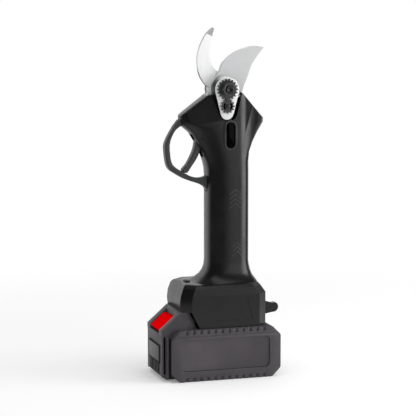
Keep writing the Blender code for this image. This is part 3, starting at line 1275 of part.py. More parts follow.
def cells():
    pitch = 2 * CELL_RADIUS + GAP
    middle = (PACK_FRONT + PACK_REAR) / 2
    number = 1
    for row in range(CELL_ROWS):
        z = WALL + GAP + CELL_RADIUS + row * pitch
        for column in range(CELL_COLUMNS):
            x = middle + (column - (CELL_COLUMNS - 1) / 2) * pitch
            bar = round_bar(x, z, CELL_RADIUS, -CELL_LENGTH / 2, CELL_LENGTH / 2, "Y", 12)
            piece(f"cell_{number}", bar, (0.05, 0.22, 0.35), 0.4)
            number += 1
    top = WALL + 2 * GAP + CELL_RADIUS * 2 + (CELL_ROWS - 1) * pitch
    piece("battery_board", box(-0.045, 0.025, -0.028, 0.028, top, top + 0.0016), (0.02, 0.12, 0.06), 0.5)


def main():
    clear_scene()
    pivot = joint_empty("blade_pivot", (AXIS_X, 0, PIVOT_Z))
    drive = joint_empty("drive_axis", (AXIS_X, 0, PINION_LARGE))
    trigger_pivot = joint_empty("trigger_pivot", (TRIGGER_X, 0, TRIGGER_Z))
    tools = housing_tools()
    housing_half("housing_left", -1, tools)
    housing_half("housing_right", 1, tools)
    housing_screws()
    guard()
    display()
    head_frame()
    fixed_blade()
    moving_blade(pivot)
    sector_gear(pivot)
    bevel_pinion(drive)
    planetary_stage(drive)
    motor()
    lock_group()
    trigger(trigger_pivot)
    power_button()
    battery_case()
    battery_cover()
    foot_terminals()
    latch()
    cells()


main()
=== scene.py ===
import json
import math

import bpy
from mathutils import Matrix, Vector

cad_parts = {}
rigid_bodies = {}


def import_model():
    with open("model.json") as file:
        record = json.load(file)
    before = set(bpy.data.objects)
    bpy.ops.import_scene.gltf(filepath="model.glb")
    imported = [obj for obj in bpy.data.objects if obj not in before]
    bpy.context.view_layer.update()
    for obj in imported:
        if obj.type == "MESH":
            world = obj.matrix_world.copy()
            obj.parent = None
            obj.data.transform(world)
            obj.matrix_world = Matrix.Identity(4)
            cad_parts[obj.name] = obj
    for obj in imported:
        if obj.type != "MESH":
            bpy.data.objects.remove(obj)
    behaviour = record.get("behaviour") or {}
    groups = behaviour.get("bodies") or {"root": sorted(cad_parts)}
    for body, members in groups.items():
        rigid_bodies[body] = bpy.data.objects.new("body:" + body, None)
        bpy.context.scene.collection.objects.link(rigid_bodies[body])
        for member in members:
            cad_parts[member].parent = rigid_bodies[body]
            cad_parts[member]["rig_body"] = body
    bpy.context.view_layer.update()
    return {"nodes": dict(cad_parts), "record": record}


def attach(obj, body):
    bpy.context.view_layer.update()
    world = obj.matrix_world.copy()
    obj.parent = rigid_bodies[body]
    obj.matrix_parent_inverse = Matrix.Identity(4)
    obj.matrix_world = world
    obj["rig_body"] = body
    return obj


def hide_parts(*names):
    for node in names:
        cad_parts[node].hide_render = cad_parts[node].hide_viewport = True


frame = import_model()


# selecting, modifiers and copies

def clearSelection():
    if bpy.context.object and bpy.context.object.mode != "OBJECT":
        bpy.ops.object.mode_set(mode="OBJECT")
    bpy.ops.object.select_all(action="DESELECT")


def pick(piece):
    clearSelection()
    piece.select_set(True)
    bpy.context.view_layer.objects.active = piece


def useModifier(piece, kind, **settings):
    # adds one modifier, sets it up and applies it
    pick(piece)
    modifier = piece.modifiers.new(kind, kind)
    for key, value in settings.items():
        setattr(modifier, key, value)
    bpy.ops.object.modifier_apply(modifier=modifier.name)


def smoothByAngle(piece, degrees):
    pick(piece)
    bpy.ops.object.shade_smooth_by_angle(angle=math.radians(degrees))


def bodyOf(nodeName):
    return frame["nodes"][nodeName]["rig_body"]


def slotOf(nodeName):
    return next(s["material_slot"] for s in frame["record"]["subparts"] if s["node"] == nodeName)


def ownMesh(name, mesh):
    piece = bpy.data.objects.new(name, mesh)
    bpy.context.scene.collection.objects.link(piece)
    return piece


mergeReach = 0.000002  # corners of the loose CAD triangles closer than this are one corner


def dressedCopy(nodeName, finish, bevel=0.0, segments=2, angle=35.0, smooth=40.0, flat=0.6):
    # a merged copy of a CAD node with softened edges, which stands for the node; angles in degrees
    piece = ownMesh(nodeName + "_dressed", frame["nodes"][nodeName].data.copy())
    pick(piece)
    bpy.ops.object.mode_set(mode="EDIT")
    bpy.ops.mesh.select_all(action="SELECT")
    bpy.ops.mesh.remove_doubles(threshold=mergeReach)
    bpy.ops.mesh.dissolve_limited(angle_limit=math.radians(flat))
    bpy.ops.object.mode_set(mode="OBJECT")
    if bevel:
        useModifier(piece, "BEVEL", width=bevel, segments=segments, limit_method="ANGLE",
                    angle_limit=math.radians(angle), harden_normals=False, miter_outer="MITER_ARC")
    smoothByAngle(piece, smooth)
    piece.data.materials.clear()
    piece.data.materials.append(finish)
    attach(piece, bodyOf(nodeName))
    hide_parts(nodeName)
    return piece


# the housing's skin: grip and wing are front, rear and half depth; flare adds to the grip at heights above
# the foot, with a squareness; growth is the share of the way up, and how far front and rear have grown
skin = dict(grip=(-0.0216, 0.0216, 0.0190), gripTop=0.2000, gripSquare=2.8,
            wing=(-0.0495, 0.0380, 0.0182), wingAt=0.2550, wingSquare=2.6, settle=0.0040,
            crown=0.3025, crownTaper=0.0006, foot=0.0945, footEdge=0.0004,
            flare=((0.0, 0.0149, 0.0074, 0.0090, 3.4), (0.0025, 0.0094, 0.0058, 0.0062, 3.2),
                   (0.0060, 0.0052, 0.0034, 0.0036, 3.0), (0.0105, 0.0023, 0.0017, 0.0016, 2.9),
                   (0.0155, 0.0006, 0.0006, 0.0005, 2.8), (0.0205, 0.0, 0.0, 0.0, 2.8)),
            growth=((0.0, 0.0, 0.0), (0.15, 0.025, 0.0), (0.27, 0.082, 0.0), (0.44, 0.211, 0.06),
                    (0.62, 0.405, 0.29), (0.80, 0.640, 0.61), (0.905, 0.895, 0.84), (0.97, 1.0, 0.98)),
            reach=0.00045, turn=24.0, step=(0.0008, 0.0008, 0.0030))


def skinRows():
    # sections from the foot up, as height, front, rear, half depth and squareness
    front, rear, depth = skin["grip"]
    rows = [(skin["foot"] + up, front - f, rear + r, depth + d, square)
            for up, f, r, d, square in skin["flare"]]
    wingFront, wingRear, wingDepth = skin["wing"]
    rise = skin["wingAt"] - skin["gripTop"]
    soften = skin["gripSquare"] - skin["wingSquare"]
    for up, f, r in skin["growth"]:
        rows.append((skin["gripTop"] + rise * up, front + (wingFront - front) * f,
                     rear + (wingRear - rear) * r, depth + (wingDepth - depth) * up,
                     skin["gripSquare"] - soften * up))
    rows.append((skin["wingAt"] + skin["settle"], wingFront, wingRear, wingDepth, skin["wingSquare"]))
    rows.append((skin["crown"], wingFront, wingRear, wingDepth - skin["crownTaper"], skin["wingSquare"]))
    return rows


skinTable = skinRows()


def skinLevel(point):
    # below 0 inside the moulded form, 0 on its face and above 0 outside
    z = min(max(point.z, skinTable[0][0]), skinTable[-1][0])
    for low, high in zip(skinTable, skinTable[1:]):
        if z <= high[0]:
            break
    t = (z - low[0]) / (high[0] - low[0])
    front, rear, depth, square = (a + (b - a) * t for a, b in zip(low[1:], high[1:]))
    across = abs(point.x - (front + rear) / 2) / ((rear - front) / 2)
    return (across ** square + (abs(point.y) / depth) ** square) ** (1 / square) - 1


def skinNormal(point):
    # the level's slope, which points out of the form; sections change slowly with height, so z has
    # a longer step
    slope = Vector()
    for i, reach in enumerate(skin["step"]):
        step = Vector()
        step[i] = reach
        slope[i] = (skinLevel(point + step) - skinLevel(point - step)) / (2 * reach)
    return slope


def shadeAsMoulded(piece):
    # corners on the moulded form take its own normal, so flat CAD facets shade as one smooth face
    mesh = piece.data
    normals = [corner.vector.copy() for corner in mesh.corner_normals]
    for face in mesh.polygons:
        for loop in face.loop_indices:
            point = mesh.vertices[mesh.loops[loop].vertex_index].co
            if point.z < skin["foot"] + skin["footEdge"]:
                continue
            slope = skinNormal(point)
            if abs(skinLevel(point)) > skin["reach"] * slope.length:
                continue
            if slope.angle(face.normal) < math.radians(skin["turn"]):
                normals[loop] = slope.normalized()
    mesh.normals_split_custom_set(normals)


# finishes: each is one material, built from noise on the piece's own coordinates

def newFinish(name):
    finish = bpy.data.materials.new(name)
    finish.use_nodes = True
    return finish, finish.node_tree, finish.node_tree.nodes["Principled BSDF"]


def addNode(tree, kind, **settings):
    node = tree.nodes.new(kind)
    for key, value in settings.items():
        setattr(node, key, value)
    return node


def noiseOn(tree, scale, detail=3.0, roughness=0.55, stretch=None):
    # noise on the piece's own coordinates, in metres, so scale is features per metre
    place = addNode(tree, "ShaderNodeTexCoord")
    noise = addNode(tree, "ShaderNodeTexNoise")
    noise.inputs["Scale"].default_value = scale
    noise.inputs["Detail"].default_value = detail
    noise.inputs["Roughness"].default_value = roughness
    if stretch:
        mapping = addNode(tree, "ShaderNodeMapping")
        mapping.inputs["Scale"].default_value = stretch
        tree.links.new(place.outputs["Object"], mapping.inputs["Vector"])
        tree.links.new(mapping.outputs["Vector"], noise.inputs["Vector"])
    else:
        tree.links.new(place.outputs["Object"], noise.inputs["Vector"])
    return noise.outputs["Fac"]


def mapped(tree, source, low, high, newLow, newHigh):
    node = addNode(tree, "ShaderNodeMapRange")
    for key, value in (("From Min", low), ("From Max", high), ("To Min", newLow), ("To Max", newHigh)):
        node.inputs[key].default_value = value
    tree.links.new(source, node.inputs["Value"])
    return node.outputs["Result"]


def mixColors(tree, share, first, second):
    # inputs 6 and 7 and output 2 are the node's colour sockets
    node = addNode(tree, "ShaderNodeMix", data_type="RGBA")
    for socket, value in ((node.inputs[6], first), (node.inputs[7], second)):
        if isinstance(value, (tuple, list)):
            socket.default_value = (*value, 1.0)
        else:
            tree.links.new(value, socket)
    tree.links.new(share, node.inputs[0])
    return node.outputs[2]


def edgeShare(tree, radius, low=0.002, high=0.10):
    # 0 on flats, rising to 1 on outer and inner edges
    rounded = addNode(tree, "ShaderNodeBevel", samples=6)
    rounded.inputs["Radius"].default_value = radius
    shape = addNode(tree, "ShaderNodeNewGeometry")
    dot = addNode(tree, "ShaderNodeVectorMath", operation="DOT_PRODUCT")
    tree.links.new(rounded.outputs["Normal"], dot.inputs[0])
    tree.links.new(shape.outputs["Normal"], dot.inputs[1])
    return mapped(tree, dot.outputs["Value"], 1.0 - low, 1.0 - high, 0.0, 1.0)


def addBump(tree, shader, height, distance, strength=1.0):
    bump = addNode(tree, "ShaderNodeBump")
    bump.inputs["Distance"].default_value = distance
    bump.inputs["Strength"].default_value = strength
    tree.links.new(height, bump.inputs["Height"])
    tree.links.new(bump.outputs["Normal"], shader.inputs["Normal"])


noiseRange = (0.3, 0.7)  # where nearly all of a noise texture's values lie


def spreadNoise(tree, noise, low=0.0, high=1.0):
    # noise keeps to the middle of its range, and this spreads it between two levels
    return mapped(tree, noise, *noiseRange, low, high)


def mouldedPlastic(name, look):
    # spark-eroded moulding: fine grain, uneven gloss, edges a little lighter, partly rubbed wear and partly
    # a painted highlight
    finish, tree, shader = newFinish(name)
    cloud = spreadNoise(tree, noiseOn(tree, look["cloud"], 2.0))
    body = mixColors(tree, cloud, look["color"], look["colorTwo"])
    # lighter outer and inner edges: partly rubbed wear, partly a painted highlight
    edgeWearAndHighlight = edgeShare(tree, look["edge"])
    tree.links.new(mixColors(tree, edgeWearAndHighlight, body, look["edgeWearAndHighlight"]), shader.inputs["Base Color"])
    gloss = spreadNoise(tree, noiseOn(tree, look["patch"], 3.0), *look["rough"])
    tree.links.new(gloss, shader.inputs["Roughness"])
    shader.inputs["Specular IOR Level"].default_value = look["specular"]
    addBump(tree, shader, noiseOn(tree, look["grain"], 2.0), look["depth"])
    return finish


# a flank is told by the Y of its normal, between the two values of turned; cool tints its painted light and
# shade a little blue
flank = dict(turned=(-0.85, -0.60), faceGloss=0.5, gloss=0.06, cool=1.02)


def paintedFlankLight(tree, shader, body, paintedShades, metal):
    # the flanks, turned from the broad face, take painted light and shade by how far they look up: a
    # painted reflection of the bright room above, painted shade from the dark room beside; its stops are
    # (height of the normal, painted brightness)
    shape = addNode(tree, "ShaderNodeNewGeometry")
    split = addNode(tree, "ShaderNodeSeparateXYZ")
    tree.links.new(shape.outputs["Normal"], split.inputs[0])
    ramp = addNode(tree, "ShaderNodeValToRGB")
    tree.links.new(mapped(tree, split.outputs["Z"], -1.0, 1.0, 0.0, 1.0), ramp.inputs[0])
    stops = ramp.color_ramp.elements
    while len(stops) < len(paintedShades):
        stops.new(0.5)
    for stop, (height, shade) in zip(stops, paintedShades):
        stop.position = (height + 1) / 2
        stop.color = (shade, shade, shade * flank["cool"], 1.0)
    aside = mapped(tree, split.outputs["Y"], *flank["turned"], 0.0, 1.0)
    tree.links.new(mapped(tree, aside, 0.0, 1.0, flank["faceGloss"], flank["gloss"]),
                   shader.inputs["Specular IOR Level"])
    tree.links.new(mapped(tree, aside, 0.0, 1.0, metal, 0.0), shader.inputs["Metallic"])
    return mixColors(tree, aside, body, ramp.outputs["Color"])


def groundTip(tree, body, tip):
    # a fresh ground end with a sharp border across the blade
    place = addNode(tree, "ShaderNodeTexCoord")
    along = addNode(tree, "ShaderNodeVectorMath", operation="DOT_PRODUCT")
    along.inputs[1].default_value = tip["along"]
    tree.links.new(place.outputs["Object"], along.inputs[0])
    past = mapped(tree, along.outputs["Value"], tip["start"], tip["start"] + tip["border"], 0.0, 1.0)
    return mixColors(tree, past, body, tip["color"])


def workedMetal(name, look):
    # ground or machined metal: lines along one direction, small changes of shade and gloss
    finish, tree, shader = newFinish(name)
    lines = spreadNoise(tree, noiseOn(tree, look["lines"], 3.0, 0.6, look["along"]))
    body = mixColors(tree, lines, look["color"], look["colorTwo"])
    shader.inputs["Metallic"].default_value = look["metal"]
    # painted light and shade on the flanks, set by which way they face
    if "flank" in look:
        body = paintedFlankLight(tree, shader, body, look["flank"], look["metal"])
    if "tip" in look:
        body = groundTip(tree, body, look["tip"])
    # lighter outer and inner edges: partly rubbed wear, partly a painted highlight
    edgeWearAndHighlight = edgeShare(tree, look["edge"])
    tree.links.new(mixColors(tree, edgeWearAndHighlight, body, look["edgeWearAndHighlight"]), shader.inputs["Base Color"])
    gloss = spreadNoise(tree, noiseOn(tree, look["patch"], 3.0), *look["rough"])
    tree.links.new(gloss, shader.inputs["Roughness"])
    addBump(tree, shader, lines, look["depth"])
    return finish


# cloud, patch and grain are features per metre, depth and edge are metres, rough is least and most
plasticLooks = {
    "housing_black": dict(
        color=(0.0045, 0.0045, 0.005), colorTwo=(0.0065, 0.0065, 0.007), edgeWearAndHighlight=(0.012, 0.012, 0.013),
        cloud=40, patch=90, rough=(0.27, 0.35), specular=0.45, grain=2600, depth=0.000010,
        edge=0.0006),
    "guard_grey": dict(
        color=(0.036, 0.037, 0.040), colorTwo=(0.044, 0.045, 0.048), edgeWearAndHighlight=(0.06, 0.061, 0.064),
        cloud=70, patch=120, rough=(0.36, 0.46), specular=0.42, grain=2400, depth=0.000012,
        edge=0.0007),
    "trigger_grey": dict(
        color=(0.040, 0.041, 0.044), colorTwo=(0.050, 0.051, 0.054), edgeWearAndHighlight=(0.10, 0.10, 0.105),
        cloud=80, patch=130, rough=(0.34, 0.44), specular=0.42, grain=2400, depth=0.000012,
        edge=0.0006),
    "bezel_black": dict(
        color=(0.020, 0.020, 0.022), colorTwo=(0.026, 0.026, 0.028), edgeWearAndHighlight=(0.07, 0.07, 0.075),
        cloud=90, patch=160, rough=(0.26, 0.34), specular=0.5, grain=3000, depth=0.000006,
        edge=0.0004),
    "black_plastic": dict(
        color=(0.018, 0.018, 0.020), colorTwo=(0.026, 0.026, 0.028), edgeWearAndHighlight=(0.06, 0.06, 0.065),
        cloud=90, patch=150, rough=(0.38, 0.48), specular=0.42, grain=2400, depth=0.00001,
        edge=0.0005),
    "battery_charcoal": dict(
        color=(0.055, 0.049, 0.056), colorTwo=(0.068, 0.060, 0.069), edgeWearAndHighlight=(0.09, 0.083, 0.092),
        cloud=45, patch=110, rough=(0.42, 0.52), specular=0.40, grain=1700, depth=0.00002,
        edge=0.0008),
    "gauge_dark": dict(
        color=(0.030, 0.028, 0.032), colorTwo=(0.040, 0.038, 0.042), edgeWearAndHighlight=(0.09, 0.085, 0.095),
        cloud=90, patch=150, rough=(0.30, 0.38), specular=0.45, grain=2600, depth=0.000008,
        edge=0.0005),
    "latch_red": dict(
        color=(0.96, 0.0004, 0.003), colorTwo=(1.0, 0.0008, 0.004), edgeWearAndHighlight=(1.0, 0.002, 0.006), cloud=70,
        patch=140, rough=(0.42, 0.52), specular=0.0, grain=2200, depth=0.00001, edge=0.0005),
    "edge_grey": dict(
        color=(0.10, 0.10, 0.104), colorTwo=(0.13, 0.13, 0.134), edgeWearAndHighlight=(0.22, 0.22, 0.224), cloud=90,
        patch=140, rough=(0.28, 0.38), specular=0.5, grain=2400, depth=0.000008, edge=0.0004),
    "deep_black": dict(
        color=(0.0012, 0.0012, 0.0014), colorTwo=(0.002, 0.002, 0.0022), edgeWearAndHighlight=(0.003, 0.003, 0.003),
        cloud=90, patch=140, rough=(0.6, 0.7), specular=0.1, grain=2000, depth=0.00001, edge=0.0003),
    "board_green": dict(
        color=(0.012, 0.09, 0.04), colorTwo=(0.02, 0.13, 0.06), edgeWearAndHighlight=(0.25, 0.22, 0.10), cloud=120,
        patch=200, rough=(0.30, 0.45), specular=0.5, grain=2200, depth=0.00001, edge=0.0004),
    "cell_wrap": dict(
        color=(0.04, 0.18, 0.30), colorTwo=(0.05, 0.24, 0.38), edgeWearAndHighlight=(0.2, 0.35, 0.45), cloud=60,
        patch=100, rough=(0.28, 0.38), specular=0.5, grain=1500, depth=0.00001, edge=0.0006),
}
# lines are drawn out along the axis whose share is small; flank holds the stops of the painted flank light
# and shade
metalLooks = {
    "polished_steel": dict(
        color=(0.84, 0.845, 0.85), colorTwo=(0.90, 0.905, 0.91), edgeWearAndHighlight=(0.95, 0.95, 0.95), lines=900,
        along=(1.0, 1.0, 0.06), patch=140, rough=(0.30, 0.40), metal=0.12, depth=0.000002, edge=0.0003,
        # the hook's flanks: painted shade where they face down, a painted reflection where they face level
        flank=((-1.0, 0.01), (-0.28, 0.008), (-0.10, 0.80), (0.20, 0.80), (0.50, 0.34)),
        tip=dict(along=(0.4548, 0.0, 0.8906), start=0.29409, border=0.0004, color=(0.36, 0.365, 0.37))),
    "blade_steel": dict(
        color=(0.56, 0.565, 0.57), colorTwo=(0.585, 0.59, 0.595), edgeWearAndHighlight=(0.86, 0.86, 0.86), lines=1100,
        along=(0.06, 1.0, 1.0), patch=140, rough=(0.30, 0.38), metal=0.25, depth=0.000002,
        edge=0.0004),
    "cover_white": dict(
        color=(0.80, 0.805, 0.81), colorTwo=(0.86, 0.865, 0.87), edgeWearAndHighlight=(0.94, 0.94, 0.94), lines=1000,
        along=(1.0, 1.0, 0.08), patch=150, rough=(0.30, 0.42), metal=0.30, depth=0.000004, edge=0.0003,
        # the plate's flank: painted shade where it faces sideways and down, a painted reflection of the top
        # light where it faces up
        flank=((-1.0, 0.004), (0.45, 0.006), (0.70, 0.08), (0.88, 0.75), (1.0, 0.80))),
    "dark_steel": dict(
        color=(0.055, 0.055, 0.058), colorTwo=(0.085, 0.085, 0.088), edgeWearAndHighlight=(0.22, 0.22, 0.22),
        lines=1200, along=(1.0, 1.0, 1.0), patch=260, rough=(0.34, 0.52), metal=0.75, depth=0.000012,
        edge=0.0005),
    "screw_steel": dict(
        color=(0.06, 0.06, 0.065), colorTwo=(0.09, 0.09, 0.095), edgeWearAndHighlight=(0.25, 0.25, 0.25), lines=1500,
        along=(1.0, 1.0, 1.0), patch=300, rough=(0.32, 0.48), metal=0.9, depth=0.000008, edge=0.0004),
    "bolt_steel": dict(
        color=(0.045, 0.045, 0.048), colorTwo=(0.07, 0.07, 0.073), edgeWearAndHighlight=(0.18, 0.18, 0.18), lines=1400,
        along=(1.0, 0.1, 1.0), patch=260, rough=(0.28, 0.42), metal=0.95, depth=0.000006, edge=0.0004),
    "frame_aluminium": dict(
        color=(0.48, 0.485, 0.50), colorTwo=(0.56, 0.565, 0.58), edgeWearAndHighlight=(0.75, 0.75, 0.76), lines=700,
        along=(1.0, 1.0, 1.0), patch=180, rough=(0.38, 0.52), metal=0.95, depth=0.00002, edge=0.0006),
    "bronze": dict(
        color=(0.50, 0.33, 0.13), colorTwo=(0.60, 0.42, 0.18), edgeWearAndHighlight=(0.75, 0.60, 0.32), lines=1200,
        along=(1.0, 1.0, 1.0), patch=240, rough=(0.35, 0.50), metal=0.95, depth=0.00001, edge=0.0004),
    "gear_steel": dict(
        color=(0.38, 0.38, 0.40), colorTwo=(0.47, 0.47, 0.49), edgeWearAndHighlight=(0.70, 0.70, 0.71), lines=1200,
        along=(1.0, 1.0, 0.2), patch=240, rough=(0.28, 0.42), metal=0.95, depth=0.000006, edge=0.0004),
    "motor_can": dict(
        color=(0.24, 0.24, 0.25), colorTwo=(0.32, 0.32, 0.33), edgeWearAndHighlight=(0.5, 0.5, 0.5), lines=900,
        along=(1.0, 1.0, 0.2), patch=200, rough=(0.30, 0.44), metal=0.9, depth=0.000006, edge=0.0005),
}
finishes = {name: mouldedPlastic(name, look) for name, look in plasticLooks.items()}
finishes.update({name: workedMetal(name, look) for name, look in metalLooks.items()})

glassLook = dict(haze=160, spread=(0.35, 0.7), color=(0.0012, 0.0012, 0.0014),
                 colorTwo=(0.0022, 0.0022, 0.0026), rough=(0.07, 0.14), specular=0.05)


def windowGlass(name, look):
    # smoked window: deep gloss with faint cleaning haze
    finish, tree, shader = newFinish(name)
    haze = mapped(tree, noiseOn(tree, look["haze"], 4.0), *look["spread"], 0.0, 1.0)
    tree.links.new(mixColors(tree, haze, look["color"], look["colorTwo"]), shader.inputs["Base Color"])
    tree.links.new(mapped(tree, haze, 0.0, 1.0, *look["rough"]), shader.inputs["Roughness"])
    shader.inputs["Specular IOR Level"].default_value = look["specular"]
    return finish


finishes["display_black"] = windowGlass("display_black", glassLook)
print("finishes made:", len(finishes))

# the CAD nodes that show get merged copies with softened edges

nodeLooks = {
    "housing_left": dict(smooth=22, flat=0.15),
    "housing_right": dict(smooth=22, flat=0.15),
    "trigger_guard": dict(bevel=0.0005),
    "trigger": dict(bevel=0.0005),
    "display_bezel": dict(bevel=0.0003),
    "display_window": dict(bevel=0.0003),
    "head_frame": dict(bevel=0.0003),
    "fixed_blade": dict(smooth=25),
    "moving_blade": dict(smooth=25),
    "cover_plate": dict(bevel=0.0004, segments=3),
    "lock_nut": dict(bevel=0.00015, segments=1),
    "nut_lock": dict(bevel=0.00015, segments=1),
    "nut_lock_screw": dict(bevel=0.00015, segments=1),
    "pivot_bolt": dict(bevel=0.0002, segments=1),
    "fixed_blade_screw_1": dict(bevel=0.0002, segments=1),
    "fixed_blade_screw_2": dict(bevel=0.0002, segments=1),
    "trigger_pin": dict(bevel=0.0002),
    "power_button": dict(bevel=0.0003),
    "battery_case": dict(bevel=0.0005),
    "battery_cover": dict(bevel=0.0004),
    "charge_gauge": dict(bevel=0.0003),
    "battery_latch": dict(bevel=0.0004),
}
dressed = {}
for nodeName, look in nodeLooks.items():
    dressed[nodeName] = dressedCopy(nodeName, finishes[slotOf(nodeName)], **look)

# the wing beside the plate: the grip's round runs up to a crease, and the thin wing turns away beyond it;
# places in metres, turns in degrees and rates in degrees per metre
wing = dict(creaseAt=(0.0098, 0.22627), slope=0.292, ridges=(0.0085, 0.0126, 0.0165), nearX=0.0040,
            faces=(0.2120, 0.3026), facing=-0.55, low=0.2160, full=0.2280, shift=0.0008,
            start=33.0, startAt=0.2630, startRate=480.0, turnRate=1900.0, most=62.0, round=(0.05, 0.93))


def cutAcross(piece, point, normal, wanted):
    # adds a line of corners where a plane crosses the faces that wanted() picks
    pick(piece)
    for face in piece.data.polygons:
        face.select = wanted(face)
    bpy.ops.object.mode_set(mode="EDIT")
    bpy.ops.mesh.select_mode(type="FACE")
    bpy.ops.mesh.bisect(plane_co=point, plane_no=normal)
    bpy.ops.object.mode_set(mode="OBJECT")


def onWing(face):
    low, high = wing["faces"]
    return face.normal.y < wing["facing"] and face.center.x > wing["nearX"] and low < face.center.z < high


def creaseX(z):
    return wing["creaseAt"][0] + (z - wing["creaseAt"][1]) * wing["slope"]


def roundTurn(x):
    # how far the grip's round face has turned at x, in degrees
    rear, depth = skin["grip"][1:]
    square = skin["gripSquare"]
    least, most = wing["round"]
    across = min(max((x + wing["shift"]) / rear, least), most)
    level = (1 - across ** square) ** (1 / square)
    return math.degrees(math.atan2(across ** (square - 1) / rear, level ** (square - 1) / depth))


def flatTurn(x, z):
    # how far the flat wing has turned beyond the crease, in degrees
    start = wing["start"] - wing["startRate"] * (wing["startAt"] - z)
    return start + wing["turnRate"] * max(x - creaseX(z), 0)


def turnWing(piece):
    # turns the normals on the wing away from the viewer, more and more between the low and full heights
    mesh = piece.data
    normals = [corner.vector.copy() for corner in mesh.corner_normals]
    for face in mesh.polygons:
        if not onWing(face):
            continue
        beyond = face.center.x > creaseX(face.center.z)
        for loop in face.loop_indices:
            x, y, z = mesh.vertices[mesh.loops[loop].vertex_index].co
            blend = min(max((z - wing["low"]) / (wing["full"] - wing["low"]), 0.0), 1.0)
            turn = flatTurn(x, z) if beyond else roundTurn(x)
            turn = math.radians(min(turn, wing["most"]))
            aimedAt = Vector((math.sin(turn), -math.cos(turn), 0.0))
            normals[loop] = normals[loop].lerp(aimedAt, blend).normalized()
    mesh.normals_split_custom_set(normals)


leftHalf = dressed["housing_left"]
cutAcross(leftHalf, (wing["creaseAt"][0], 0, wing["creaseAt"][1]), (1, 0, -wing["slope"]), onWing)
for ridge in wing["ridges"]:
    cutAcross(leftHalf, (ridge, 0, 0), (1, 0, 0), onWing)
for nodeName in ("housing_left", "housing_right"):
    shadeAsMoulded(dressed[nodeName])
turnWing(leftHalf)
for nodeName, node in frame["nodes"].items():
    if nodeName not in nodeLooks:
        node.data.materials.clear()
        node.data.materials.append(finishes[slotOf(nodeName)])
print("nodes dressed:", len(dressed))

# small additions: painted shade for dark floors, grooves and lines at edges, a painted highlight on one
# edge, and seams


def finishPiece(piece, name, slot, nodeName, smooth=35.0):
    # stands at the origin, unturned and unscaled, on the body of the node it sits on
    piece.name = name
    pick(piece)
    bpy.ops.object.transform_apply(location=True, rotation=True, scale=True)
    smoothByAngle(piece, smooth)
    piece.data.materials.clear()
    piece.data.materials.append(finishes[slot])
    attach(piece, bodyOf(nodeName))
    return piece


def pullUp(piece, height):
    # extrudes the piece's one face along its own Z into a closed body
    pick(piece)
    bpy.ops.object.mode_set(mode="EDIT")
    bpy.ops.mesh.select_all(action="SELECT")
    bpy.ops.mesh.extrude_region_move(TRANSFORM_OT_translate=dict(value=(0, 0, height)))
    bpy.ops.mesh.select_all(action="SELECT")
    bpy.ops.mesh.normals_make_consistent(inside=False)
    bpy.ops.object.mode_set(mode="OBJECT")


def slab(name, low, high, slot, nodeName):
    # a flat body between two corners
    low, high = Vector(low), Vector(high)
    size = high - low
    clearSelection()
    bpy.ops.mesh.primitive_plane_add(size=1)
    piece = bpy.context.object
    piece.scale = (size.x, size.y, 1)
    bpy.ops.object.transform_apply(location=False, rotation=False, scale=True)
    pullUp(piece, size.z)
    piece.location = (low.x + size.x / 2, low.y + size.y / 2, low.z)
    return finishPiece(piece, name, slot, nodeName)


def bar(name, start, end, radius, slot, nodeName, sides=10):
    # a round body between two points
    start, end = Vector(start), Vector(end)
    clearSelection()
    bpy.ops.mesh.primitive_circle_add(vertices=sides, radius=radius, fill_type="NGON")
    piece = bpy.context.object
    pullUp(piece, (end - start).length)
    piece.rotation_euler = (end - start).to_track_quat("Z", "Y").to_euler()
    piece.location = start
    return finishPiece(piece, name, slot, nodeName, 50.0)


# painted shade: a black disc under the lock's two windows, so they show dark like deep hollows
lockDisc = dict(x=-0.0050, z=0.2698, radius=0.0052, front=-0.01872, back=-0.01852, sides=32)
ends = [(lockDisc["x"], lockDisc[word], lockDisc["z"]) for word in ("front", "back")]
bar("lock_window_painted_shade", *ends, lockDisc["radius"], "deep_black", "cover_plate", lockDisc["sides"])

# painted shade in the pack's upright grooves and a painted highlight on the edge between them: x, y from
# the middle plane, and finish
grooves = dict(z=(0.0040, 0.0440), strips={
    # the dark strips are painted shade in the grooves, the edge_grey strip a painted highlight on the lit
    # edge
    "nose_groove_painted_shade": ((-0.0747, -0.0698), (0.02550, 0.02585), "deep_black"),
    "step_groove_painted_shade": ((-0.06855, -0.06835), (0.0303, 0.0366), "deep_black"),
    "nose_edge_painted_highlight": ((-0.0694, -0.0686), (0.0269, 0.0271), "edge_grey"),
})
for word, (x, y, slot) in grooves["strips"].items():
    for side, place in ((-1, "near"), (1, "far")):
        corners = list(zip(x, sorted(side * v for v in y), grooves["z"]))
        slab(word + "_" + place, *corners, slot, "battery_case")

# the nose's face lies back a little, under a black border round the gauge and a black field of painted
# shade for the dark inside the vents; gauge and vents are half width, foot and top
nose = dict(face=-0.0750, back=0.0003, reach=0.0001, proud=0.00005, gauge=(0.0181, 0.0179, 0.0341),
            border=0.0014, vents=(0.0166, 0.0058, 0.0160), ribs=5, ribHalf=0.0007)
pick(dressed["battery_case"])
for corner in dressed["battery_case"].data.vertices:
    corner.select = corner.co.x < nose["face"] + nose["reach"]
bpy.ops.object.mode_set(mode="EDIT")
bpy.ops.mesh.select_mode(type="VERT")
bpy.ops.transform.translate(value=(nose["back"], 0, 0))
bpy.ops.object.mode_set(mode="OBJECT")
front, deep = nose["face"] + nose["proud"], nose["face"] + nose["back"] + nose["reach"]
half, low, high = nose["gauge"]
rim = nose["border"]
borders = {
    "left": (-half - rim, -half, low - rim, high + rim),
    "right": (half, half + rim, low - rim, high + rim),
    "under": (-half, half, low - rim, low),
    "over": (-half, half, high, high + rim),
}
for word, (y, toY, z, toZ) in borders.items():
    slab("gauge_border_" + word, (front, y, z), (deep, toY, toZ), "deep_black", "battery_case")
half, low, high = nose["vents"]
behind = front + nose["reach"]
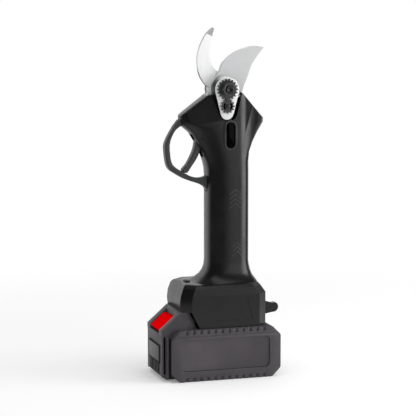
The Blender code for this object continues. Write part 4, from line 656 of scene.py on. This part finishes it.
# painted shade: the black field behind the ribs stands for the dark inside the vent slots
slab("vents_painted_shade", (behind, -half, low), (deep, half, high), "deep_black", "battery_case")
for i in range(nose["ribs"]):
    y = half * (2 * (i + 1) / (nose["ribs"] + 1) - 1)
    slab("vent_rib_%d" % (i + 1), (nose["face"], y - nose["ribHalf"], low),
         (behind, y + nose["ribHalf"], high), "battery_charcoal", "battery_case")

# dark lines along the front shoulder, let into its sloping top: a dark seam, and painted shade along the
# crease
shoulder = dict(foot=(-0.0495, 0.2600), lean=35.3, radius=0.00045, lines={
    "front_seam": dict(x=(-0.0478, -0.0198), y=-0.0074, sunk=0.0004),
    # the crease line is painted shade
    "front_crease_painted_shade": dict(x=(-0.0470, -0.0190), y=-0.0110, sunk=0.0010),
})


def shoulderZ(x):
    # height of the front shoulder's sloping top
    footX, footZ = shoulder["foot"]
    return footZ + (x - footX) * math.tan(math.radians(shoulder["lean"]))


for name, line in shoulder["lines"].items():
    ends = [(x, line["y"], shoulderZ(x) - line["sunk"]) for x in line["x"]]
    bar(name, *ends, shoulder["radius"], "deep_black", "housing_left")

# the dark line of painted shade round each sunk side panel of the pack, and the tongue that closes the
# parting line
recess = dict(x=(-0.0576, 0.0339), z=(0.0105, 0.0420), chamfer=0.0030, y=0.0363, radius=0.00035, sides=8)


def recessRing():
    # corners of the sunk panel's outline, as x and z
    (x, toX), (z, toZ), cut = recess["x"], recess["z"], recess["chamfer"]
    return [(x + cut, z), (toX - cut, z), (toX, z + cut), (toX, toZ - cut),
            (toX - cut, toZ), (x + cut, toZ), (x, toZ - cut), (x, z + cut)]


ring = recessRing()
for side, word in ((-1, "near"), (1, "far")):
    y = side * recess["y"]
    for i, (x, z) in enumerate(ring):
        toX, toZ = ring[(i + 1) % len(ring)]
        # each side of the outline is a line of painted shade
        bar("recess_line_%s_%d" % (word, i + 1), (x, y, z), (toX, y, toZ), recess["radius"], "deep_black",
            "battery_case", recess["sides"])
tongue = dict(half=0.0004, z=(0.0960, 0.2000), front=(-0.0206, -0.0192), rear=(0.0192, 0.0206))
for word in ("front", "rear"):
    x, toX = tongue[word]
    low, high = tongue["z"]
    slab("parting_tongue_" + word, (x, -tongue["half"], low), (toX, tongue["half"], high), "black_plastic",
         "housing_left")

# shallow chevrons moulded in the grip's near face: middle x, half width, and the heights of their tops
chevrons = dict(groups=((0.0035, 0.0062, (0.1870, 0.1825, 0.1780, 0.1735)),
                        (0.0055, 0.0048, (0.1345, 0.1300, 0.1255))),
                drop=0.0050, radius=0.0004, sunk=0.00022, sides=8)


def gripPoint(x, z):
    # a point a little under the grip's near face
    rear, depth = skin["grip"][1:]
    square = skin["gripSquare"]
    return Vector((x, -depth * (1 - (abs(x) / rear) ** square) ** (1 / square) + chevrons["sunk"], z))


count = 0
for middle, half, tops in chevrons["groups"]:
    for top in tops:
        for side in (-1, 1):
            count += 1
            bar("grip_chevron_%d" % count, gripPoint(middle, top),
                gripPoint(middle + side * half, top - chevrons["drop"]), chevrons["radius"], "guard_grey",
                "housing_left", chevrons["sides"])
print("small additions made")

# floor, world, lamps and camera

# fades are metres from the middle of the floor; turns and roof are shares of a direction of length 1
studio = dict(floorSize=12.0, floorColor=(0.93, 0.93, 0.93), floorGrain=30, floorChange=1.01,
              floorRough=0.85, floorGloss=0.1, floorLift=0.20, fadeStart=0.16, fadeEnd=0.75,
              ambient=0.56, darkSide=0.05, brightSide=1.0, turnStart=0.30, turnEnd=0.72,
              roof=0.12, roofStart=0.36, roofEnd=0.52)


def sideGlow(tree, split):
    # what mirrors see: a dark room in front of the object and above it, and a white one behind it
    behind = mapped(tree, split.outputs["Y"], studio["turnStart"], studio["turnEnd"], 0.0, 1.0)
    low = mapped(tree, split.outputs["Z"], studio["roofStart"], studio["roofEnd"], 1.0, studio["roof"])
    both = addNode(tree, "ShaderNodeMath", operation="MULTIPLY")
    tree.links.new(behind, both.inputs[0])
    tree.links.new(low, both.inputs[1])
    return mapped(tree, both.outputs[0], 0.0, 1.0, studio["darkSide"], studio["brightSide"])


def floorFinish():
    finish, tree, shader = newFinish("floor_pale")
    grain = spreadNoise(tree, noiseOn(tree, studio["floorGrain"]))
    pale = studio["floorColor"]
    paler = tuple(c * studio["floorChange"] for c in pale)
    tree.links.new(mixColors(tree, grain, pale, paler), shader.inputs["Base Color"])
    shader.inputs["Roughness"].default_value = studio["floorRough"]
    shader.inputs["Specular IOR Level"].default_value = studio["floorGloss"]
    paths = addNode(tree, "ShaderNodeLightPath")
    place = addNode(tree, "ShaderNodeTexCoord")
    length = addNode(tree, "ShaderNodeVectorMath", operation="LENGTH")
    tree.links.new(place.outputs["Object"], length.inputs[0])
    far = mapped(tree, length.outputs["Value"], studio["fadeStart"], studio["fadeEnd"], 0.0, 1.0)
    far.node.interpolation_type = "SMOOTHSTEP"
    # the far floor is plain white to the eye, and keeps the room's two sides for mirrors
    along = addNode(tree, "ShaderNodeVectorMath", operation="NORMALIZE")
    tree.links.new(place.outputs["Object"], along.inputs[0])
    split = addNode(tree, "ShaderNodeSeparateXYZ")
    tree.links.new(along.outputs[0], split.inputs[0])
    level = addNode(tree, "ShaderNodeMix", data_type="FLOAT")
    tree.links.new(paths.outputs["Is Glossy Ray"], level.inputs[0])
    level.inputs[2].default_value = 1.0
    tree.links.new(sideGlow(tree, split), level.inputs[3])
    glow = addNode(tree, "ShaderNodeEmission")
    tree.links.new(level.outputs[0], glow.inputs["Strength"])
    lift = addNode(tree, "ShaderNodeEmission")
    tree.links.new(mapped(tree, paths.outputs["Is Camera Ray"], 0.0, 1.0, 0.0, studio["floorLift"]),
                   lift.inputs["Strength"])
    near = addNode(tree, "ShaderNodeAddShader")
    tree.links.new(shader.outputs[0], near.inputs[0])
    tree.links.new(lift.outputs[0], near.inputs[1])
    mix = addNode(tree, "ShaderNodeMixShader")
    tree.links.new(far, mix.inputs[0])
    tree.links.new(near.outputs[0], mix.inputs[1])
    tree.links.new(glow.outputs[0], mix.inputs[2])
    tree.links.new(mix.outputs[0], tree.nodes["Material Output"].inputs["Surface"])
    return finish


clearSelection()
bpy.ops.mesh.primitive_grid_add(x_subdivisions=2, y_subdivisions=2, size=studio["floorSize"])
floor = bpy.context.object
floor.name = "floor"
floor.data.materials.append(floorFinish())

world = bpy.data.worlds.new("studio_world")
bpy.context.scene.world = world
world.use_nodes = True
wires = world.node_tree
for node in list(wires.nodes):
    wires.nodes.remove(node)
paths = addNode(wires, "ShaderNodeLightPath")
direction = addNode(wires, "ShaderNodeTexCoord")
split = addNode(wires, "ShaderNodeSeparateXYZ")
wires.links.new(direction.outputs["Generated"], split.inputs[0])


def whiteGlow(strength):
    node = addNode(wires, "ShaderNodeBackground")
    node.inputs["Color"].default_value = (1, 1, 1, 1)
    if isinstance(strength, float):
        node.inputs["Strength"].default_value = strength
    else:
        wires.links.new(strength, node.inputs["Strength"])
    return node.outputs[0]


def chosen(share, first, second):
    node = addNode(wires, "ShaderNodeMixShader")
    for socket, source in zip(node.inputs, (share, first, second)):
        wires.links.new(source, socket)
    return node.outputs[0]


mirrored = addNode(wires, "ShaderNodeMath", operation="MAXIMUM")
wires.links.new(paths.outputs["Is Glossy Ray"], mirrored.inputs[0])
wires.links.new(paths.outputs["Is Transmission Ray"], mirrored.inputs[1])
unseen = chosen(mirrored.outputs[0], whiteGlow(studio["ambient"]), whiteGlow(sideGlow(wires, split)))
worldOut = addNode(wires, "ShaderNodeOutputWorld")
wires.links.new(chosen(paths.outputs["Is Camera Ray"], unseen, whiteGlow(1.0)), worldOut.inputs["Surface"])

objectCentre = Vector((-0.019, 0.0, 0.1675))
# place is degrees round from -Y towards +X, degrees up, and metres away; power in watts
lamps = {
    "frontPanel": dict(place=(25, 12, 1.3), size=(0.62, 0.9), power=2.1),
    "rightPanel": dict(place=(66, 8, 1.0), size=(0.58, 0.8), power=6.6),
    "topPanel": dict(place=(0, 84, 1.2), size=(0.9, 0.9), power=3.4),
}


def aroundObject(turn, up, distance):
    turn, up = math.radians(turn), math.radians(up)
    level = math.cos(up)
    return objectCentre + distance * Vector((math.sin(turn) * level, -math.cos(turn) * level, math.sin(up)))


def aimed(thing, target):
    thing.rotation_euler = (target - thing.location).to_track_quat("-Z", "Y").to_euler()


for name, lamp in lamps.items():
    light = bpy.data.lights.new(name, "AREA")
    light.shape = "RECTANGLE"
    light.size, light.size_y = lamp["size"]
    light.energy = lamp["power"]
    holder = bpy.data.objects.new(name, light)
    bpy.context.scene.collection.objects.link(holder)
    holder.location = aroundObject(*lamp["place"])
    aimed(holder, objectCentre)

view = dict(turn=-17.5, up=6.66, distance=1.5, lens=129.8, sensor=36.0)
eye = bpy.data.objects.new("photo_camera", bpy.data.cameras.new("photo_camera"))
bpy.context.scene.collection.objects.link(eye)
eye.data.sensor_width = view["sensor"]
eye.data.lens = view["lens"]
eye.location = aroundObject(view["turn"], view["up"], view["distance"])
aimed(eye, objectCentre)
bpy.context.scene.camera = eye
bpy.context.scene.view_settings.view_transform = "Standard"
print("studio set up")
